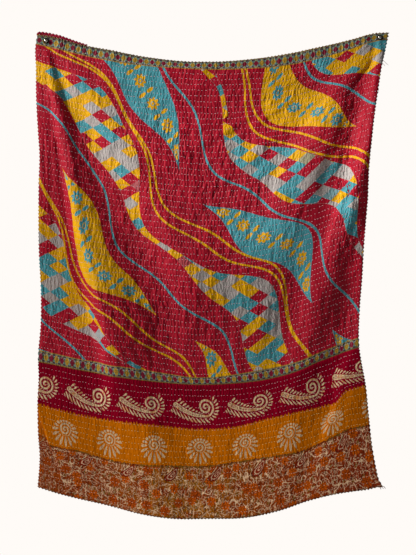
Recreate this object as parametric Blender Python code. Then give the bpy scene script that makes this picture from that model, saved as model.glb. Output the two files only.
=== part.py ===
"""Kantha quilt, hung by its two top corners on two round-headed pins.

The quilt is two hand-quilted panels joined along a straight seam: a length of sari cloth above and a
printed strip below. Each panel is one closed sheet with the folds of the hung cloth and a rib between
every two rows of running stitch. A short strip of the reverse cloth stands above the top edge at the
left corner. Each pin goes through its washer and the cloth into the wall.

Frame: metres. The origin is on the wall, midway between the pins. +X is to the right, +Z is up, and the
cloth hangs in front of the wall, on the -Y side.
"""

import math

import bmesh
import bpy
import numpy as np
from mathutils import Matrix, Vector

# Driving dimensions, in metres -------------------------------------------------------------------

CLOTH_THICKNESS = 0.0025
PIECE_GAP = 0.0003

TOP_EDGE_V = 0.0
SEAM_V = 1.146
BOTTOM_EDGE_V = 1.623

RIB_HEIGHT = 0.0013
UPPER_RIBS = 56
LOWER_RIBS = 24
CELLS_PER_RIB = 2
BACK_ROW_STEP = 4

PIN_SPACING_HALF = 0.595
PIN_LEFT_Z = -0.006
PIN_RIGHT_Z = 0.006
PIN_CLOTH_DEPTH = 0.005
PIN_FLAT_RADIUS = 0.021
PIN_BLEND_RADIUS = 0.052
SHANK_RADIUS = 0.0012
SHANK_CLEARANCE = 0.0003
SHANK_IN_WALL = 0.014
HEAD_RADIUS = 0.0066
HEAD_HEIGHT = 0.0052
WASHER_RADIUS = 0.0102
WASHER_THICKNESS = 0.0018
WASHER_RIM = 0.0011
WASHER_CUP = 0.0008
HEAD_RIM = 0.0006
POINT_LENGTH = 0.0048
PIN_HOLE_STEPS = 12
PIN_HOLE_CUT = 0.030
DOME_STEPS = 6
ROUND_STEPS = 20

REVERSE_EDGE_CELLS = 6
REVERSE_EDGE_HEIGHT = 0.0105
REVERSE_EDGE_THICKNESS = 0.0012
REVERSE_EDGE_TAPER = 0.74
REVERSE_EDGE_CORNER_SHARE = 0.6
REVERSE_EDGE_CORNER_LENGTH = 0.15

# Lines of the hanging cloth ----------------------------------------------------------------------
# v is the distance down the cloth from its top edge, and p the share of the way across it.

# Lines that run across the cloth, level when it lies flat: v of each, from the top edge to the bottom
# edge. They are the top edge, the foot of the top border, the head of the lower border, the seam, the foot
# of the crimson band, the foot of the marigold band and the bottom edge.
HANGING_LINE_V = (0.0, 0.025, 1.118, 1.146, 1.305, 1.433, 1.623)

# One row for each place across the cloth: p, then the height z in millimetres of each line there.
HANGING_HEIGHTS = (
    (0.00, (17, -17, -1111, -1150, -1300, -1432, -1596)),
    (0.05, (7, -32, -1122, -1161, -1318, -1452, -1616)),
    (0.12, (-18, -56, -1140, -1178, -1339, -1466, -1638)),
    (0.20, (-38, -78, -1155, -1194, -1357, -1494, -1660)),
    (0.30, (-63, -95, -1171, -1210, -1373, -1514, -1690)),
    (0.40, (-79, -106, -1189, -1223, -1384, -1517, -1707)),
    (0.50, (-82, -112, -1201, -1230, -1391, -1517, -1707)),
    (0.60, (-74, -107, -1194, -1226, -1383, -1504, -1704)),
    (0.70, (-56, -97, -1175, -1214, -1354, -1486, -1680)),
    (0.80, (-30, -73, -1148, -1185, -1326, -1462, -1640)),
    (0.88, (-6, -45, -1112, -1146, -1306, -1418, -1618)),
    (0.91, (4, -32, -1100, -1134, -1296, -1400, -1613)),
    (0.93, (12, -22, -1092, -1126, -1265, -1388, -1610)),
    (0.96, (21, -10, -1080, -1113, -1250, -1380, -1606)),
    (1.00, (24, 0, -1064, -1098, -1239, -1371, -1595)),
)

# The two selvedges: v, then x at the left and at the right.
SIDE_EDGES = (
    (0.000, -0.626, 0.626),
    (0.030, -0.632, 0.622),
    (0.110, -0.6305, 0.6025),
    (0.200, -0.630, 0.586),
    (0.340, -0.623, 0.564),
    (0.420, -0.618, 0.555),
    (0.520, -0.6205, 0.5475),
    (0.620, -0.621, 0.544),
    (0.770, -0.619, 0.534),
    (0.910, -0.612, 0.528),
    (1.020, -0.6125, 0.521),
    (1.146, -0.622, 0.520),
    (1.200, -0.620, 0.527),
    (1.290, -0.624, 0.542),
    (1.400, -0.623, 0.554),
    (1.500, -0.617, 0.567),
    (1.623, -0.624, 0.595),
)

# Folds -------------------------------------------------------------------------------------------
# Each fold line runs down the cloth and is the crest or the foot of a fold. Its rows hold the height z,
# the place x and the depth of the cloth's back in front of the wall, all in millimetres. Between two
# neighbouring lines the cloth slopes evenly and rounds off at both ends.

FOLD_LINES = (
    ("left edge", (
        (-10, -660, 5), (-80, -660, 3), (-255, -660, 3), (-433, -660, 8), (-621, -660, 12),
        (-976, -660, 16), (-1285, -660, 15), (-1640, -660, 12),
    )),
    ("foot outside the outer left fold", (
        (-10, -624, 5), (-80, -622, 5), (-160, -612, 7), (-255, -589, 10), (-433, -553, 10),
        (-621, -528, 10), (-812, -485, 11), (-976, -454, 12), (-1107, -426, 13), (-1285, -408, 14),
        (-1640, -400, 12),
    )),
    ("crest of the outer left fold", (
        (-10, -592, 6), (-80, -585, 11), (-160, -568, 16), (-255, -546, 22), (-433, -514, 32),
        (-621, -476, 50), (-716, -452, 63), (-812, -422, 76), (-976, -384, 87), (-1107, -352, 80),
        (-1195, -325, 50), (-1285, -300, 36), (-1400, -230, 34), (-1500, -205, 33), (-1640, -188, 28),
    )),
    ("foot between the left folds", (
        (-10, -578, 5), (-80, -562, 6), (-160, -540, 8), (-255, -512, 9), (-344, -460, 10),
        (-433, -425, 13), (-521, -385, 17), (-621, -330, 25), (-716, -276, 36), (-812, -222, 47),
        (-976, -172, 56), (-1107, -150, 50), (-1285, -120, 31), (-1640, -60, 24),
    )),
    ("crest of the inner left fold", (
        (-10, -560, 6), (-80, -515, 17), (-160, -450, 28), (-255, -378, 37), (-344, -318, 45),
        (-433, -268, 53), (-521, -225, 58), (-621, -172, 65), (-716, -128, 75), (-812, -82, 79),
        (-976, -78, 64), (-1107, -90, 53), (-1285, -60, 30), (-1640, 20, 25),
    )),
    ("foot inside the inner right fold", (
        (0, 520, 6), (-80, 440, 16), (-160, 374, 20), (-255, 315, 25), (-344, 264, 30),
        (-433, 222, 37), (-621, 150, 57), (-812, 100, 71), (-976, 80, 60), (-1107, 70, 47),
        (-1285, 60, 31), (-1640, 90, 26),
    )),
    ("crest of the inner right fold", (
        (0, 566, 6), (-80, 540, 22), (-160, 480, 37), (-255, 444, 52), (-344, 390, 61),
        (-433, 338, 65), (-621, 248, 70), (-812, 182, 68), (-976, 150, 56), (-1107, 140, 44),
        (-1285, 140, 32), (-1640, 140, 27),
    )),
    ("foot between the right folds", (
        (0, 580, 5), (-80, 562, 17), (-160, 534, 29), (-255, 506, 41), (-433, 470, 50),
        (-621, 416, 55), (-812, 340, 49), (-976, 285, 40), (-1107, 240, 34), (-1285, 200, 32),
        (-1640, 200, 27),
    )),
    ("crest of the outer right fold", (
        (0, 600, 6), (-80, 598, 28), (-160, 588, 52), (-255, 572, 76), (-433, 536, 93),
        (-621, 480, 84), (-716, 449, 72), (-812, 418, 60), (-976, 352, 45), (-1107, 318, 38),
        (-1285, 274, 34), (-1640, 270, 27),
    )),
    ("foot outside the outer right fold", (
        (0, 618, 5), (-80, 614, 20), (-160, 606, 38), (-255, 593, 60), (-433, 574, 74),
        (-621, 552, 66), (-812, 505, 46), (-976, 482, 26), (-1107, 462, 20), (-1195, 424, 19),
        (-1285, 415, 22), (-1445, 366, 23), (-1640, 320, 23),
    )),
    ("crest of the lower right fold", (
        (0, 640, 5), (-433, 640, 62), (-812, 570, 46), (-976, 540, 29), (-1107, 505, 26),
        (-1195, 474, 29), (-1285, 453, 32), (-1400, 410, 28), (-1500, 385, 26), (-1640, 372, 24),
    )),
    ("right edge", (
        (0, 680, 5), (-433, 680, 56), (-812, 620, 44), (-976, 620, 28), (-1107, 620, 21),
        (-1285, 620, 12), (-1640, 640, 8),
    )),
)

FOLD_ROUNDING = 0.36
NARROWEST_FOLD = 0.004
NORMAL_STEP = 0.002

# Columns of the mesh. Along the top edge they stand in stretches: p where a stretch ends, and its cells.
TOP_COLUMN_STRETCHES = ((0.05, 3), (0.27, 7), (0.63, 9), (0.955, 13), (1.0, 3))
# Further down they follow the fold lines: the cells before each line, from the left edge to the right.
CELLS_BEFORE_FOLD_LINE = (3, 4, 4, 3, 5, 3, 3, 3, 3, 2, 2)
NARROWEST_CELL = 0.005
COLUMNS_LEAVE_TOP_V = 0.005
COLUMNS_ON_FOLDS_V = 0.10
CROSSING_STEPS = 8

MM = 0.001


# The surface of the hung cloth -------------------------------------------------------------------

def smooth_curve(at, stations, values):
    """Cubic curve through the values at the stations, without overshoot at the ends."""
    stations = np.asarray(stations, float)
    values = np.asarray(values, float)
    slopes = np.gradient(values, stations)
    at = np.clip(at, stations[0], stations[-1])
    left = np.clip(np.searchsorted(stations, at, side="right") - 1, 0, len(stations) - 2)
    width = stations[left + 1] - stations[left]
    t = (at - stations[left]) / width
    return (
        (2 * t**3 - 3 * t**2 + 1) * values[left]
        + (t**3 - 2 * t**2 + t) * width * slopes[left]
        + (3 * t**2 - 2 * t**3) * values[left + 1]
        + (t**3 - t**2) * width * slopes[left + 1]
    )


def rounded_ramp(t):
    """Even slope from 0 to 1, rounded off over FOLD_ROUNDING at each end."""
    r = FOLD_ROUNDING
    t = np.clip(t, 0.0, 1.0)
    slope = 1.0 / (1.0 - r)
    rising = slope * t**2 / (2 * r)
    even = slope * (t - r / 2)
    ending = 1.0 - slope * (1.0 - t)**2 / (2 * r)
    return np.where(t < r, rising, np.where(t > 1.0 - r, ending, even))


def line_height(v, p):
    """Height z of the cloth at v down it and p across it."""
    stations = [row[0] for row in HANGING_HEIGHTS]
    heights = np.array([
        smooth_curve(p, stations, [row[1][line] for row in HANGING_HEIGHTS])
        for line in range(len(HANGING_LINE_V))
    ]) * MM
    left = np.clip(np.searchsorted(HANGING_LINE_V, v, side="right") - 1, 0, len(HANGING_LINE_V) - 2)
    above = np.take(HANGING_LINE_V, left)
    below = np.take(HANGING_LINE_V, left + 1)
    t = (v - above) / (below - above)
    index = np.arange(len(p))
    return heights[left, index] * (1 - t) + heights[left + 1, index] * t


def side_edges_x(v):
    """The x of the left and of the right selvedge at v."""
    edge_v = [row[0] for row in SIDE_EDGES]
    x_left = smooth_curve(v, edge_v, [row[1] for row in SIDE_EDGES])
    x_right = smooth_curve(v, edge_v, [row[2] for row in SIDE_EDGES])
    return x_left, x_right


def fold_line_curve(rows, z):
    """The x and the depth of one fold line at height z."""
    table = np.array(rows[::-1], float) * MM
    return smooth_curve(z, table[:, 0], table[:, 1]), smooth_curve(z, table[:, 0], table[:, 2])


def fold_depth(x, z):
    """Depth of the cloth's back in front of the wall, from the fold lines."""
    lines = [fold_line_curve(rows, z) for _, rows in FOLD_LINES]
    depth = lines[0][1]
    for (x_before, depth_before), (x_line, depth_line) in zip(lines, lines[1:]):
        width = np.maximum(x_line - x_before, NARROWEST_FOLD)
        depth = depth + (depth_line - depth_before) * rounded_ramp((x - x_before) / width)
    return depth


def pin_grip(x, z):
    """0 where a pin holds the cloth flat, rising to 1 where the cloth hangs free."""
    grip = np.ones_like(x)
    for side, pin_z in ((-1, PIN_LEFT_Z), (1, PIN_RIGHT_Z)):
        away = np.hypot(x - side * PIN_SPACING_HALF, z - pin_z)
        t = np.clip((away - PIN_FLAT_RADIUS) / (PIN_BLEND_RADIUS - PIN_FLAT_RADIUS), 0.0, 1.0)
        grip = grip * (3 * t**2 - 2 * t**3)
    return grip


def back_point(v, p):
    """Point of the cloth's back face at v down it and p across it, as an array of x, y, z."""
    x_left, x_right = side_edges_x(v)
    x = x_left + (x_right - x_left) * p
    z = line_height(v, p)
    grip = pin_grip(x, z)
    depth = PIN_CLOTH_DEPTH + (fold_depth(x, z) - PIN_CLOTH_DEPTH) * grip
    return np.stack([x, -depth, z], axis=-1)


def cloth_frame(v, p):
    """Back point, unit normal towards the front, and the pins' grip there."""
    v_low = np.clip(v - NORMAL_STEP, TOP_EDGE_V, BOTTOM_EDGE_V)
    v_high = np.clip(v + NORMAL_STEP, TOP_EDGE_V, BOTTOM_EDGE_V)
    p_low = np.clip(p - NORMAL_STEP, 0.0, 1.0)
    p_high = np.clip(p + NORMAL_STEP, 0.0, 1.0)
    across = back_point(v, p_high) - back_point(v, p_low)
    down = back_point(v_high, p) - back_point(v_low, p)
    normal = np.cross(across, -down)
    normal *= np.where(normal[:, 1:2] > 0, -1.0, 1.0)
    normal /= np.linalg.norm(normal, axis=1, keepdims=True)
    point = back_point(v, p)
    return point, normal, pin_grip(point[:, 0], point[:, 2])


# Panels ------------------------------------------------------------------------------------------

def stretched_places(stretches):
    """The p of each column where every stretch is divided evenly into its cells."""
    places = [0.0]
    for end, cells in stretches:
        start = places[-1]
        places += [start + (end - start) * (k + 1) / cells for k in range(cells)]
    return np.array(places)


def fold_line_place(rows, v):
    """The p where one fold line crosses v, found by stepping towards it."""
    x_left, x_right = side_edges_x(v)
    place = 0.5
    for _ in range(CROSSING_STEPS):
        height = line_height(np.array([v]), np.array([place]))[0]
        x, _ = fold_line_curve(rows, height)
        place = min(max((x - x_left) / (x_right - x_left), 0.0), 1.0)
    return place


def column_places(v):
    """The p of each column of the mesh at v: even at the top edge, along the fold lines below it."""
    x_left, x_right = side_edges_x(v)
    smallest = NARROWEST_CELL / (x_right - x_left)
    ends = [fold_line_place(rows, v) for _, rows in FOLD_LINES[1:-1]] + [1.0]
    cells_after = np.cumsum(CELLS_BEFORE_FOLD_LINE[::-1])[::-1]
    for line in range(len(ends) - 1):
        before = ends[line - 1] if line else 0.0
        ends[line] = max(ends[line], before + CELLS_BEFORE_FOLD_LINE[line] * smallest)
        ends[line] = min(ends[line], 1.0 - cells_after[line + 1] * smallest)
    on_folds = stretched_places(zip(ends, CELLS_BEFORE_FOLD_LINE))
    t = np.clip((v - COLUMNS_LEAVE_TOP_V) / (COLUMNS_ON_FOLDS_V - COLUMNS_LEAVE_TOP_V), 0.0, 1.0)
    share = 3 * t**2 - 2 * t**3
    return stretched_places(TOP_COLUMN_STRETCHES) * (1 - share) + on_folds * share


def panel_grid(v_start, v_end, rows, lift_at):
    """Grid of points of one face: rows + 1 lines of columns, each raised by lift_at(row)."""
    lines = []
    for row in range(rows + 1):
        v = v_start + (v_end - v_start) * row / rows
        columns = column_places(v)
        point, normal, grip = cloth_frame(np.full(len(columns), v), columns)
        lift = lift_at(row, grip)
        lines.append(point + normal * lift[:, None])
    return lines


def split_quad(mesh, upper_left, lower_left, lower_right, upper_right):
    """Two triangles across the shorter diagonal, so that a slanting fold keeps a clean line."""
    falling = (upper_left.co - lower_right.co).length
    rising = (upper_right.co - lower_left.co).length
    if falling < rising:
        mesh.faces.new((upper_left, lower_left, lower_right))
        mesh.faces.new((upper_left, lower_right, upper_right))
    else:
        mesh.faces.new((upper_left, lower_left, upper_right))
        mesh.faces.new((upper_right, lower_left, lower_right))


def make_panel(name, v_start, v_end, ribs, material):
    """One quilted panel: a ribbed front, a plain back and a rim, as one closed body."""
    rows = ribs * CELLS_PER_RIB

    def front_lift(row, grip):
        on_crest = row % CELLS_PER_RIB
        return CLOTH_THICKNESS + RIB_HEIGHT * grip * on_crest

    def back_lift(row, grip):
        return np.zeros_like(grip)

    front = panel_grid(v_start, v_end, rows, front_lift)
    back = panel_grid(v_start, v_end, rows // BACK_ROW_STEP, back_lift)

    mesh = bmesh.new()
    front_verts = [[mesh.verts.new(point) for point in line] for line in front]
    back_verts = [[mesh.verts.new(point) for point in line] for line in back]
    last = len(front_verts[0]) - 1

    for upper, lower in zip(front_verts, front_verts[1:]):
        for c in range(last):
            split_quad(mesh, upper[c], lower[c], lower[c + 1], upper[c + 1])
    for upper, lower in zip(back_verts, back_verts[1:]):
        for c in range(last):
            split_quad(mesh, upper[c + 1], lower[c + 1], lower[c], upper[c])
    for front_line, back_line, turn in (
        (front_verts[0], back_verts[0], 1),
        (front_verts[-1], back_verts[-1], -1),
    ):
        for c in range(last):
            mesh.faces.new((front_line[c], front_line[c + 1], back_line[c])[::turn])
            mesh.faces.new((front_line[c + 1], back_line[c + 1], back_line[c])[::turn])
    for c, turn in ((0, -1), (last, 1)):
        for row in range(len(back_verts) - 1):
            first = row * BACK_ROW_STEP
            middle = first + BACK_ROW_STEP // 2
            for k in range(first, first + BACK_ROW_STEP):
                near = back_verts[row][c] if k < middle else back_verts[row + 1][c]
                mesh.faces.new((front_verts[k][c], front_verts[k + 1][c], near)[::turn])
            mesh.faces.new((front_verts[middle][c], back_verts[row + 1][c], back_verts[row][c])[::turn])
    bmesh.ops.recalc_face_normals(mesh, faces=mesh.faces)
    return add_object(name, mesh, material, smooth=True)


def make_reverse_edge(material):
    """The reverse cloth above the top edge: a strip that tapers away from the left corner."""
    places = column_places(TOP_EDGE_V)[:REVERSE_EDGE_CELLS + 1]
    shares = places / places[-1]
    point, normal, _ = cloth_frame(np.full(len(places), TOP_EDGE_V), places)
    middle = point + normal * (CLOTH_THICKNESS - REVERSE_EDGE_THICKNESS) / 2
    along = np.gradient(middle, axis=0)
    along /= np.linalg.norm(along, axis=1, keepdims=True)
    up = np.cross(along, normal)
    up *= np.where(up[:, 2:3] < 0, -1.0, 1.0)
    corner = np.minimum(1.0, REVERSE_EDGE_CORNER_SHARE + shares / REVERSE_EDGE_CORNER_LENGTH)
    heights = REVERSE_EDGE_HEIGHT * (1.0 - REVERSE_EDGE_TAPER * shares**2) * corner

    mesh = bmesh.new()
    sections = []
    for base, rise, out, height in zip(middle, up, normal, heights):
        low = base + rise * PIECE_GAP
        high = base + rise * (PIECE_GAP + height)
        corners = (low, high, high + out * REVERSE_EDGE_THICKNESS, low + out * REVERSE_EDGE_THICKNESS)
        sections.append([mesh.verts.new(corner) for corner in corners])
    for one, two in zip(sections, sections[1:]):
        for k in range(4):
            mesh.faces.new((one[k], one[(k + 1) % 4], two[(k + 1) % 4], two[k]))
    mesh.faces.new(sections[0][::-1])
    mesh.faces.new(sections[-1])
    bmesh.ops.recalc_face_normals(mesh, faces=mesh.faces)
    return add_object("reverse_edge", mesh, material, smooth=False)


# Pins --------------------------------------------------------------------------------------------

def turned_piece(name, profile, material):
    """Closed body turned about the Y axis from a profile of (radius, y) points, axis to axis or a loop."""
    mesh = bmesh.new()
    verts = [mesh.verts.new((radius, y, 0.0)) for radius, y in profile]
    edges = [mesh.edges.new(pair) for pair in zip(verts, verts[1:])]
    if profile[0][0] > 0:
        edges.append(mesh.edges.new((verts[-1], verts[0])))
    bmesh.ops.spin(
        mesh, geom=verts + edges, cent=(0, 0, 0), axis=(0, 1, 0),
        angle=2 * math.pi, steps=ROUND_STEPS, use_merge=True,
    )
    bmesh.ops.remove_doubles(mesh, verts=mesh.verts, dist=1e-6)
    bmesh.ops.recalc_face_normals(mesh, faces=mesh.faces)
    return add_object(name, mesh, material, smooth=True)


def washer_back_y():
    """Where the washer's back lies: just in front of the cloth that the pin holds flat."""
    return -(PIN_CLOTH_DEPTH + CLOTH_THICKNESS + PIECE_GAP)


def make_pin(name, x, z, material):
    """Round-headed pin: a domed head, a shank through washer and cloth, and a point."""
    seat = washer_back_y() - WASHER_THICKNESS - PIECE_GAP
    dome = []
    for k in range(DOME_STEPS):
        angle = math.pi / 2 * k / DOME_STEPS
        dome.append((HEAD_RADIUS * math.sin(angle), seat - HEAD_HEIGHT * math.cos(angle)))
    profile = dome + [
        (HEAD_RADIUS, seat - HEAD_RIM),
        (HEAD_RADIUS - HEAD_RIM, seat),
        (SHANK_RADIUS, seat),
        (SHANK_RADIUS, SHANK_IN_WALL - POINT_LENGTH),
        (0.0, SHANK_IN_WALL),
    ]
    pin = turned_piece(name, profile, material)
    pin.location = (x, 0.0, z)
    return pin


def make_washer(name, x, z, material):
    """Cup washer: a ring with a raised, rounded rim around the pin's shank."""
    back = washer_back_y()
    hole = SHANK_RADIUS + SHANK_CLEARANCE
    front = back - WASHER_THICKNESS
    profile = (
        (hole, back),
        (WASHER_RADIUS, back),
        (WASHER_RADIUS, back - WASHER_THICKNESS / 2),
        (WASHER_RADIUS - WASHER_RIM, front - WASHER_CUP),
        (HEAD_RADIUS + WASHER_RIM, front - WASHER_CUP),
        (HEAD_RADIUS + PIECE_GAP, front),
        (hole, front),
    )
    washer = turned_piece(name, profile, material)
    washer.location = (x, 0.0, z)
    return washer


def bore_pin_hole(panel, x, z):
    """Cut the hole that the pin's shank makes in the cloth."""
    mesh = bmesh.new()
    bmesh.ops.create_cone(
        mesh, cap_ends=True, segments=PIN_HOLE_STEPS,
        radius1=SHANK_RADIUS + SHANK_CLEARANCE, radius2=SHANK_RADIUS + SHANK_CLEARANCE, depth=PIN_HOLE_CUT,
        matrix=Matrix.Translation(Vector((x, -PIN_CLOTH_DEPTH, z))) @ Matrix.Rotation(math.pi / 2, 4, "X"),
    )
    cutter = add_object("cutter_" + ("left" if x < 0 else "right"), mesh, None, smooth=False)
    cutter.hide_render = True
    cutter.display_type = "WIRE"
    cut = panel.modifiers.new("pin hole " + cutter.name, "BOOLEAN")
    cut.operation = "DIFFERENCE"
    cut.solver = "EXACT"
    cut.object = cutter


# Materials and assembly --------------------------------------------------------------------------

def make_material(name, color, roughness, metallic=0.0):
    """Plain Principled material."""
    material = bpy.data.materials.new(name)
    material.use_nodes = True
    shader = material.node_tree.nodes["Principled BSDF"]
    shader.inputs["Base Color"].default_value = (*color, 1.0)
    shader.inputs["Roughness"].default_value = roughness
    shader.inputs["Metallic"].default_value = metallic
    material.diffuse_color = (*color, 1.0)
    return material


def add_object(name, mesh, material, smooth):
    """Turn a bmesh into a named object with its material."""
    data = bpy.data.meshes.new(name)
    mesh.to_mesh(data)
    mesh.free()
    if material is not None:
        data.materials.append(material)
    if smooth:
        data.shade_smooth()
        data.set_sharp_from_angle(angle=math.radians(50))
    piece = bpy.data.objects.new(name, data)
    bpy.context.scene.collection.objects.link(piece)
    return piece


def build():
    for old in list(bpy.data.objects):
        bpy.data.objects.remove(old, do_unlink=True)

    upper = make_panel(
        "upper_panel", TOP_EDGE_V, SEAM_V - PIECE_GAP / 2, UPPER_RIBS,
        make_material("crimson sari cloth", (0.42, 0.02, 0.06), 0.8),
    )
    make_panel(
        "lower_panel", SEAM_V + PIECE_GAP / 2, BOTTOM_EDGE_V, LOWER_RIBS,
        make_material("printed strip cloth", (0.55, 0.2, 0.02), 0.8),
    )
    make_reverse_edge(make_material("reverse cloth", (0.35, 0.01, 0.03), 0.85))
    for side, x, z in (("left", -PIN_SPACING_HALF, PIN_LEFT_Z), ("right", PIN_SPACING_HALF, PIN_RIGHT_Z)):
        bore_pin_hole(upper, x, z)
        steel = make_material("polished steel " + side, (0.8, 0.8, 0.78), 0.2, metallic=1.0)
        make_pin("pin_" + side, x, z, steel)
        brass = make_material("blackened brass " + side, (0.03, 0.025, 0.02), 0.45, metallic=1.0)
        make_washer("washer_" + side, x, z, brass)


build()
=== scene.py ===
"""Kantha quilt hung by its two top corners on round-headed pins.

The quilt is two hand-quilted panels: a length of printed sari cloth with its two woven borders, and a
printed strip with a crimson, a marigold and a rust band. The folds come from the same named lines as the
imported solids. Over them lie the ribs and puckers of the quilting, the prints, the running stitches of both
faces, the overcast edges, the stitched seam and a few loose threads.

Frame: metres. The origin is on the wall, midway between the pins. +X is to the right and +Z is up, and the
quilt hangs on the -Y side of the wall.
"""

from __future__ import annotations

import logging
import math
from collections.abc import Iterable, Sequence
from dataclasses import dataclass, field
from enum import Enum
from functools import partial, partialmethod

import bpy
import numpy as np
from bpy.types import Material, Mesh, Node, NodeSocket, NodeTree, Object
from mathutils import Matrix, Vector


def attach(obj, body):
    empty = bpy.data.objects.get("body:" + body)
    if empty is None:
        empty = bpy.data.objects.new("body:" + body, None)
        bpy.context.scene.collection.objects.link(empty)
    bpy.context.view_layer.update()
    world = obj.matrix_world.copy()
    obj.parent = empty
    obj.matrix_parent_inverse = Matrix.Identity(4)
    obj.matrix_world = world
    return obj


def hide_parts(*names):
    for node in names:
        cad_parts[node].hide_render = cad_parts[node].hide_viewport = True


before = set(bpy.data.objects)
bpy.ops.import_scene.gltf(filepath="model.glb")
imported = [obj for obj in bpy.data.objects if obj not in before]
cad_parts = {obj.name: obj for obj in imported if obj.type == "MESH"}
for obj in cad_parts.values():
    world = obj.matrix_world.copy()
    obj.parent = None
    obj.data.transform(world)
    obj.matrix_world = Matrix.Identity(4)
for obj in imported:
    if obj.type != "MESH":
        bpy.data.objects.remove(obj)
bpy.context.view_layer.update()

LOG = logging.getLogger("kantha_quilt")
Array = np.ndarray
Links = dict[int | str, object]
MM = 0.001
UP = np.array([0.0, 0.0, 1.0])
BODY = "root"


# Small helpers ------------------------


def smooth_curve(at: Array, stations: Sequence[float], values: Sequence[float]) -> Array:
    """Cubic curve through the values at the stations.

    Args:
        at: Places to read the curve at.
        stations: Rising places of the known values.
        values: The known values.

    Returns:
        The curve at each place.
    """
    stations = np.asarray(stations, float)
    values = np.asarray(values, float)
    slopes = np.gradient(values, stations)
    at = np.clip(at, stations[0], stations[-1])
    left = np.clip(np.searchsorted(stations, at, side="right") - 1, 0, len(stations) - 2)
    width = stations[left + 1] - stations[left]
    t = (at - stations[left]) / width
    return (
        (2 * t**3 - 3 * t**2 + 1) * values[left]
        + (t**3 - 2 * t**2 + t) * width * slopes[left]
        + (3 * t**2 - 2 * t**3) * values[left + 1]
        + (t**3 - t**2) * width * slopes[left + 1]
    )


def rounded_ramp(t: Array, rounding: float) -> Array:
    """Even slope from 0 to 1 with rounded ends.

    Args:
        t: Share of the way along the slope.
        rounding: Share of the slope that is rounded off at each end.

    Returns:
        The height of the slope, from 0 to 1.
    """
    t = np.clip(t, 0.0, 1.0)
    slope = 1.0 / (1.0 - rounding)
    rising = slope * t**2 / (2 * rounding)
    even = slope * (t - rounding / 2)
    ending = 1.0 - slope * (1.0 - t) ** 2 / (2 * rounding)
    return np.where(t < rounding, rising, np.where(t > 1.0 - rounding, ending, even))


def unit(vectors: Array) -> Array:
    """The vectors at length 1."""
    return vectors / np.maximum(np.linalg.norm(vectors, axis=-1, keepdims=True), 1e-12)


def linear_color(hex_code: str) -> tuple[float, float, float, float]:
    """An sRGB hex colour as linear red, green, blue and alpha."""
    parts = [int(hex_code[k : k + 2], 16) / 255 for k in (1, 3, 5)]
    return (*[c / 12.92 if c <= 0.04045 else ((c + 0.055) / 1.055) ** 2.4 for c in parts], 1.0)


class SmoothNoise:
    """Even, repeatable unevenness from -1 to 1 over a plane, with bumps about one unit apart."""

    SIZE = 128

    def __init__(self, seed: int) -> None:
        """Fill the lattice of random heights."""
        self.lattice = np.random.default_rng(seed).uniform(-1.0, 1.0, (self.SIZE, self.SIZE))

    def at(self, x: Array, y: Array) -> Array:
        """Read the noise.

        Args:
            x: First coordinate, in bump widths.
            y: Second coordinate, in bump widths.

        Returns:
            Values from -1 to 1.
        """
        x, y = np.broadcast_arrays(np.asarray(x, float), np.asarray(y, float))
        column, row = np.floor(x).astype(int), np.floor(y).astype(int)
        fx, fy = x - column, y - row
        fx, fy = fx * fx * (3 - 2 * fx), fy * fy * (3 - 2 * fy)
        a, b = column % self.SIZE, (column + 1) % self.SIZE
        c, d = row % self.SIZE, (row + 1) % self.SIZE
        upper = self.lattice[c, a] * (1 - fx) + self.lattice[c, b] * fx
        lower = self.lattice[d, a] * (1 - fx) + self.lattice[d, b] * fx
        return upper * (1 - fy) + lower * fy


def linked(name: str, data: bpy.types.ID) -> Object:
    """Add an object to the scene.

    Args:
        name: The object's name.
        data: Its mesh, light or camera.

    Returns:
        The object.
    """
    made = bpy.data.objects.new(name, data)
    bpy.context.scene.collection.objects.link(made)
    return made


def store(mesh: Mesh, name: str, values: Array) -> None:
    """Store a number, or a row of three, for each point of a mesh."""
    kind, key = ("FLOAT", "value") if values.ndim == 1 else ("FLOAT_VECTOR", "vector")
    mesh.attributes.new(name, kind, "POINT").data.foreach_set(key, values.astype(np.float32).ravel())


def add_flat_map(mesh: Mesh, name: str, flat: Array) -> None:
    """Give a mesh a UV map.

    Args:
        mesh: The mesh.
        name: The map's name.
        flat: The place of each of its points on the map.
    """
    corner = np.empty(len(mesh.loops), np.int32)
    mesh.loops.foreach_get("vertex_index", corner)
    mesh.uv_layers.new(name=name).data.foreach_set("uv", flat[corner].astype(np.float32).ravel())


def quads(*corners: Array) -> list[list[int]]:
    """Faces from four arrays that hold the first, second, third and fourth point number of each."""
    return np.stack(corners, axis=-1).reshape(-1, 4).tolist()


def new_piece(
    name: str, points: Array, faces: Iterable[Sequence[int]], materials: Sequence[Material],
    face_material: Sequence[int] | None = None, smooth: bool = True,
) -> Object:
    """Make a mesh object at the origin and link it into the scene.

    Args:
        name: The piece's name.
        points: Its points, in metres.
        faces: Its faces, as point numbers, outward.
        materials: Its material slots.
        face_material: The slot of each face, or None for the first.
        smooth: Whether its faces are shaded smoothly.

    Returns:
        The new object.
    """
    mesh = bpy.data.meshes.new(name)
    mesh.from_pydata([tuple(map(float, point)) for point in points], [], [tuple(face) for face in faces])
    for material in materials:
        mesh.materials.append(material)
    if face_material is not None:
        mesh.polygons.foreach_set("material_index", np.asarray(face_material, np.int32))
    mesh.polygons.foreach_set("use_smooth", np.full(len(mesh.polygons), smooth))
    mesh.update()
    return linked(name, mesh)


# Shape of the hung cloth --------------


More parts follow.
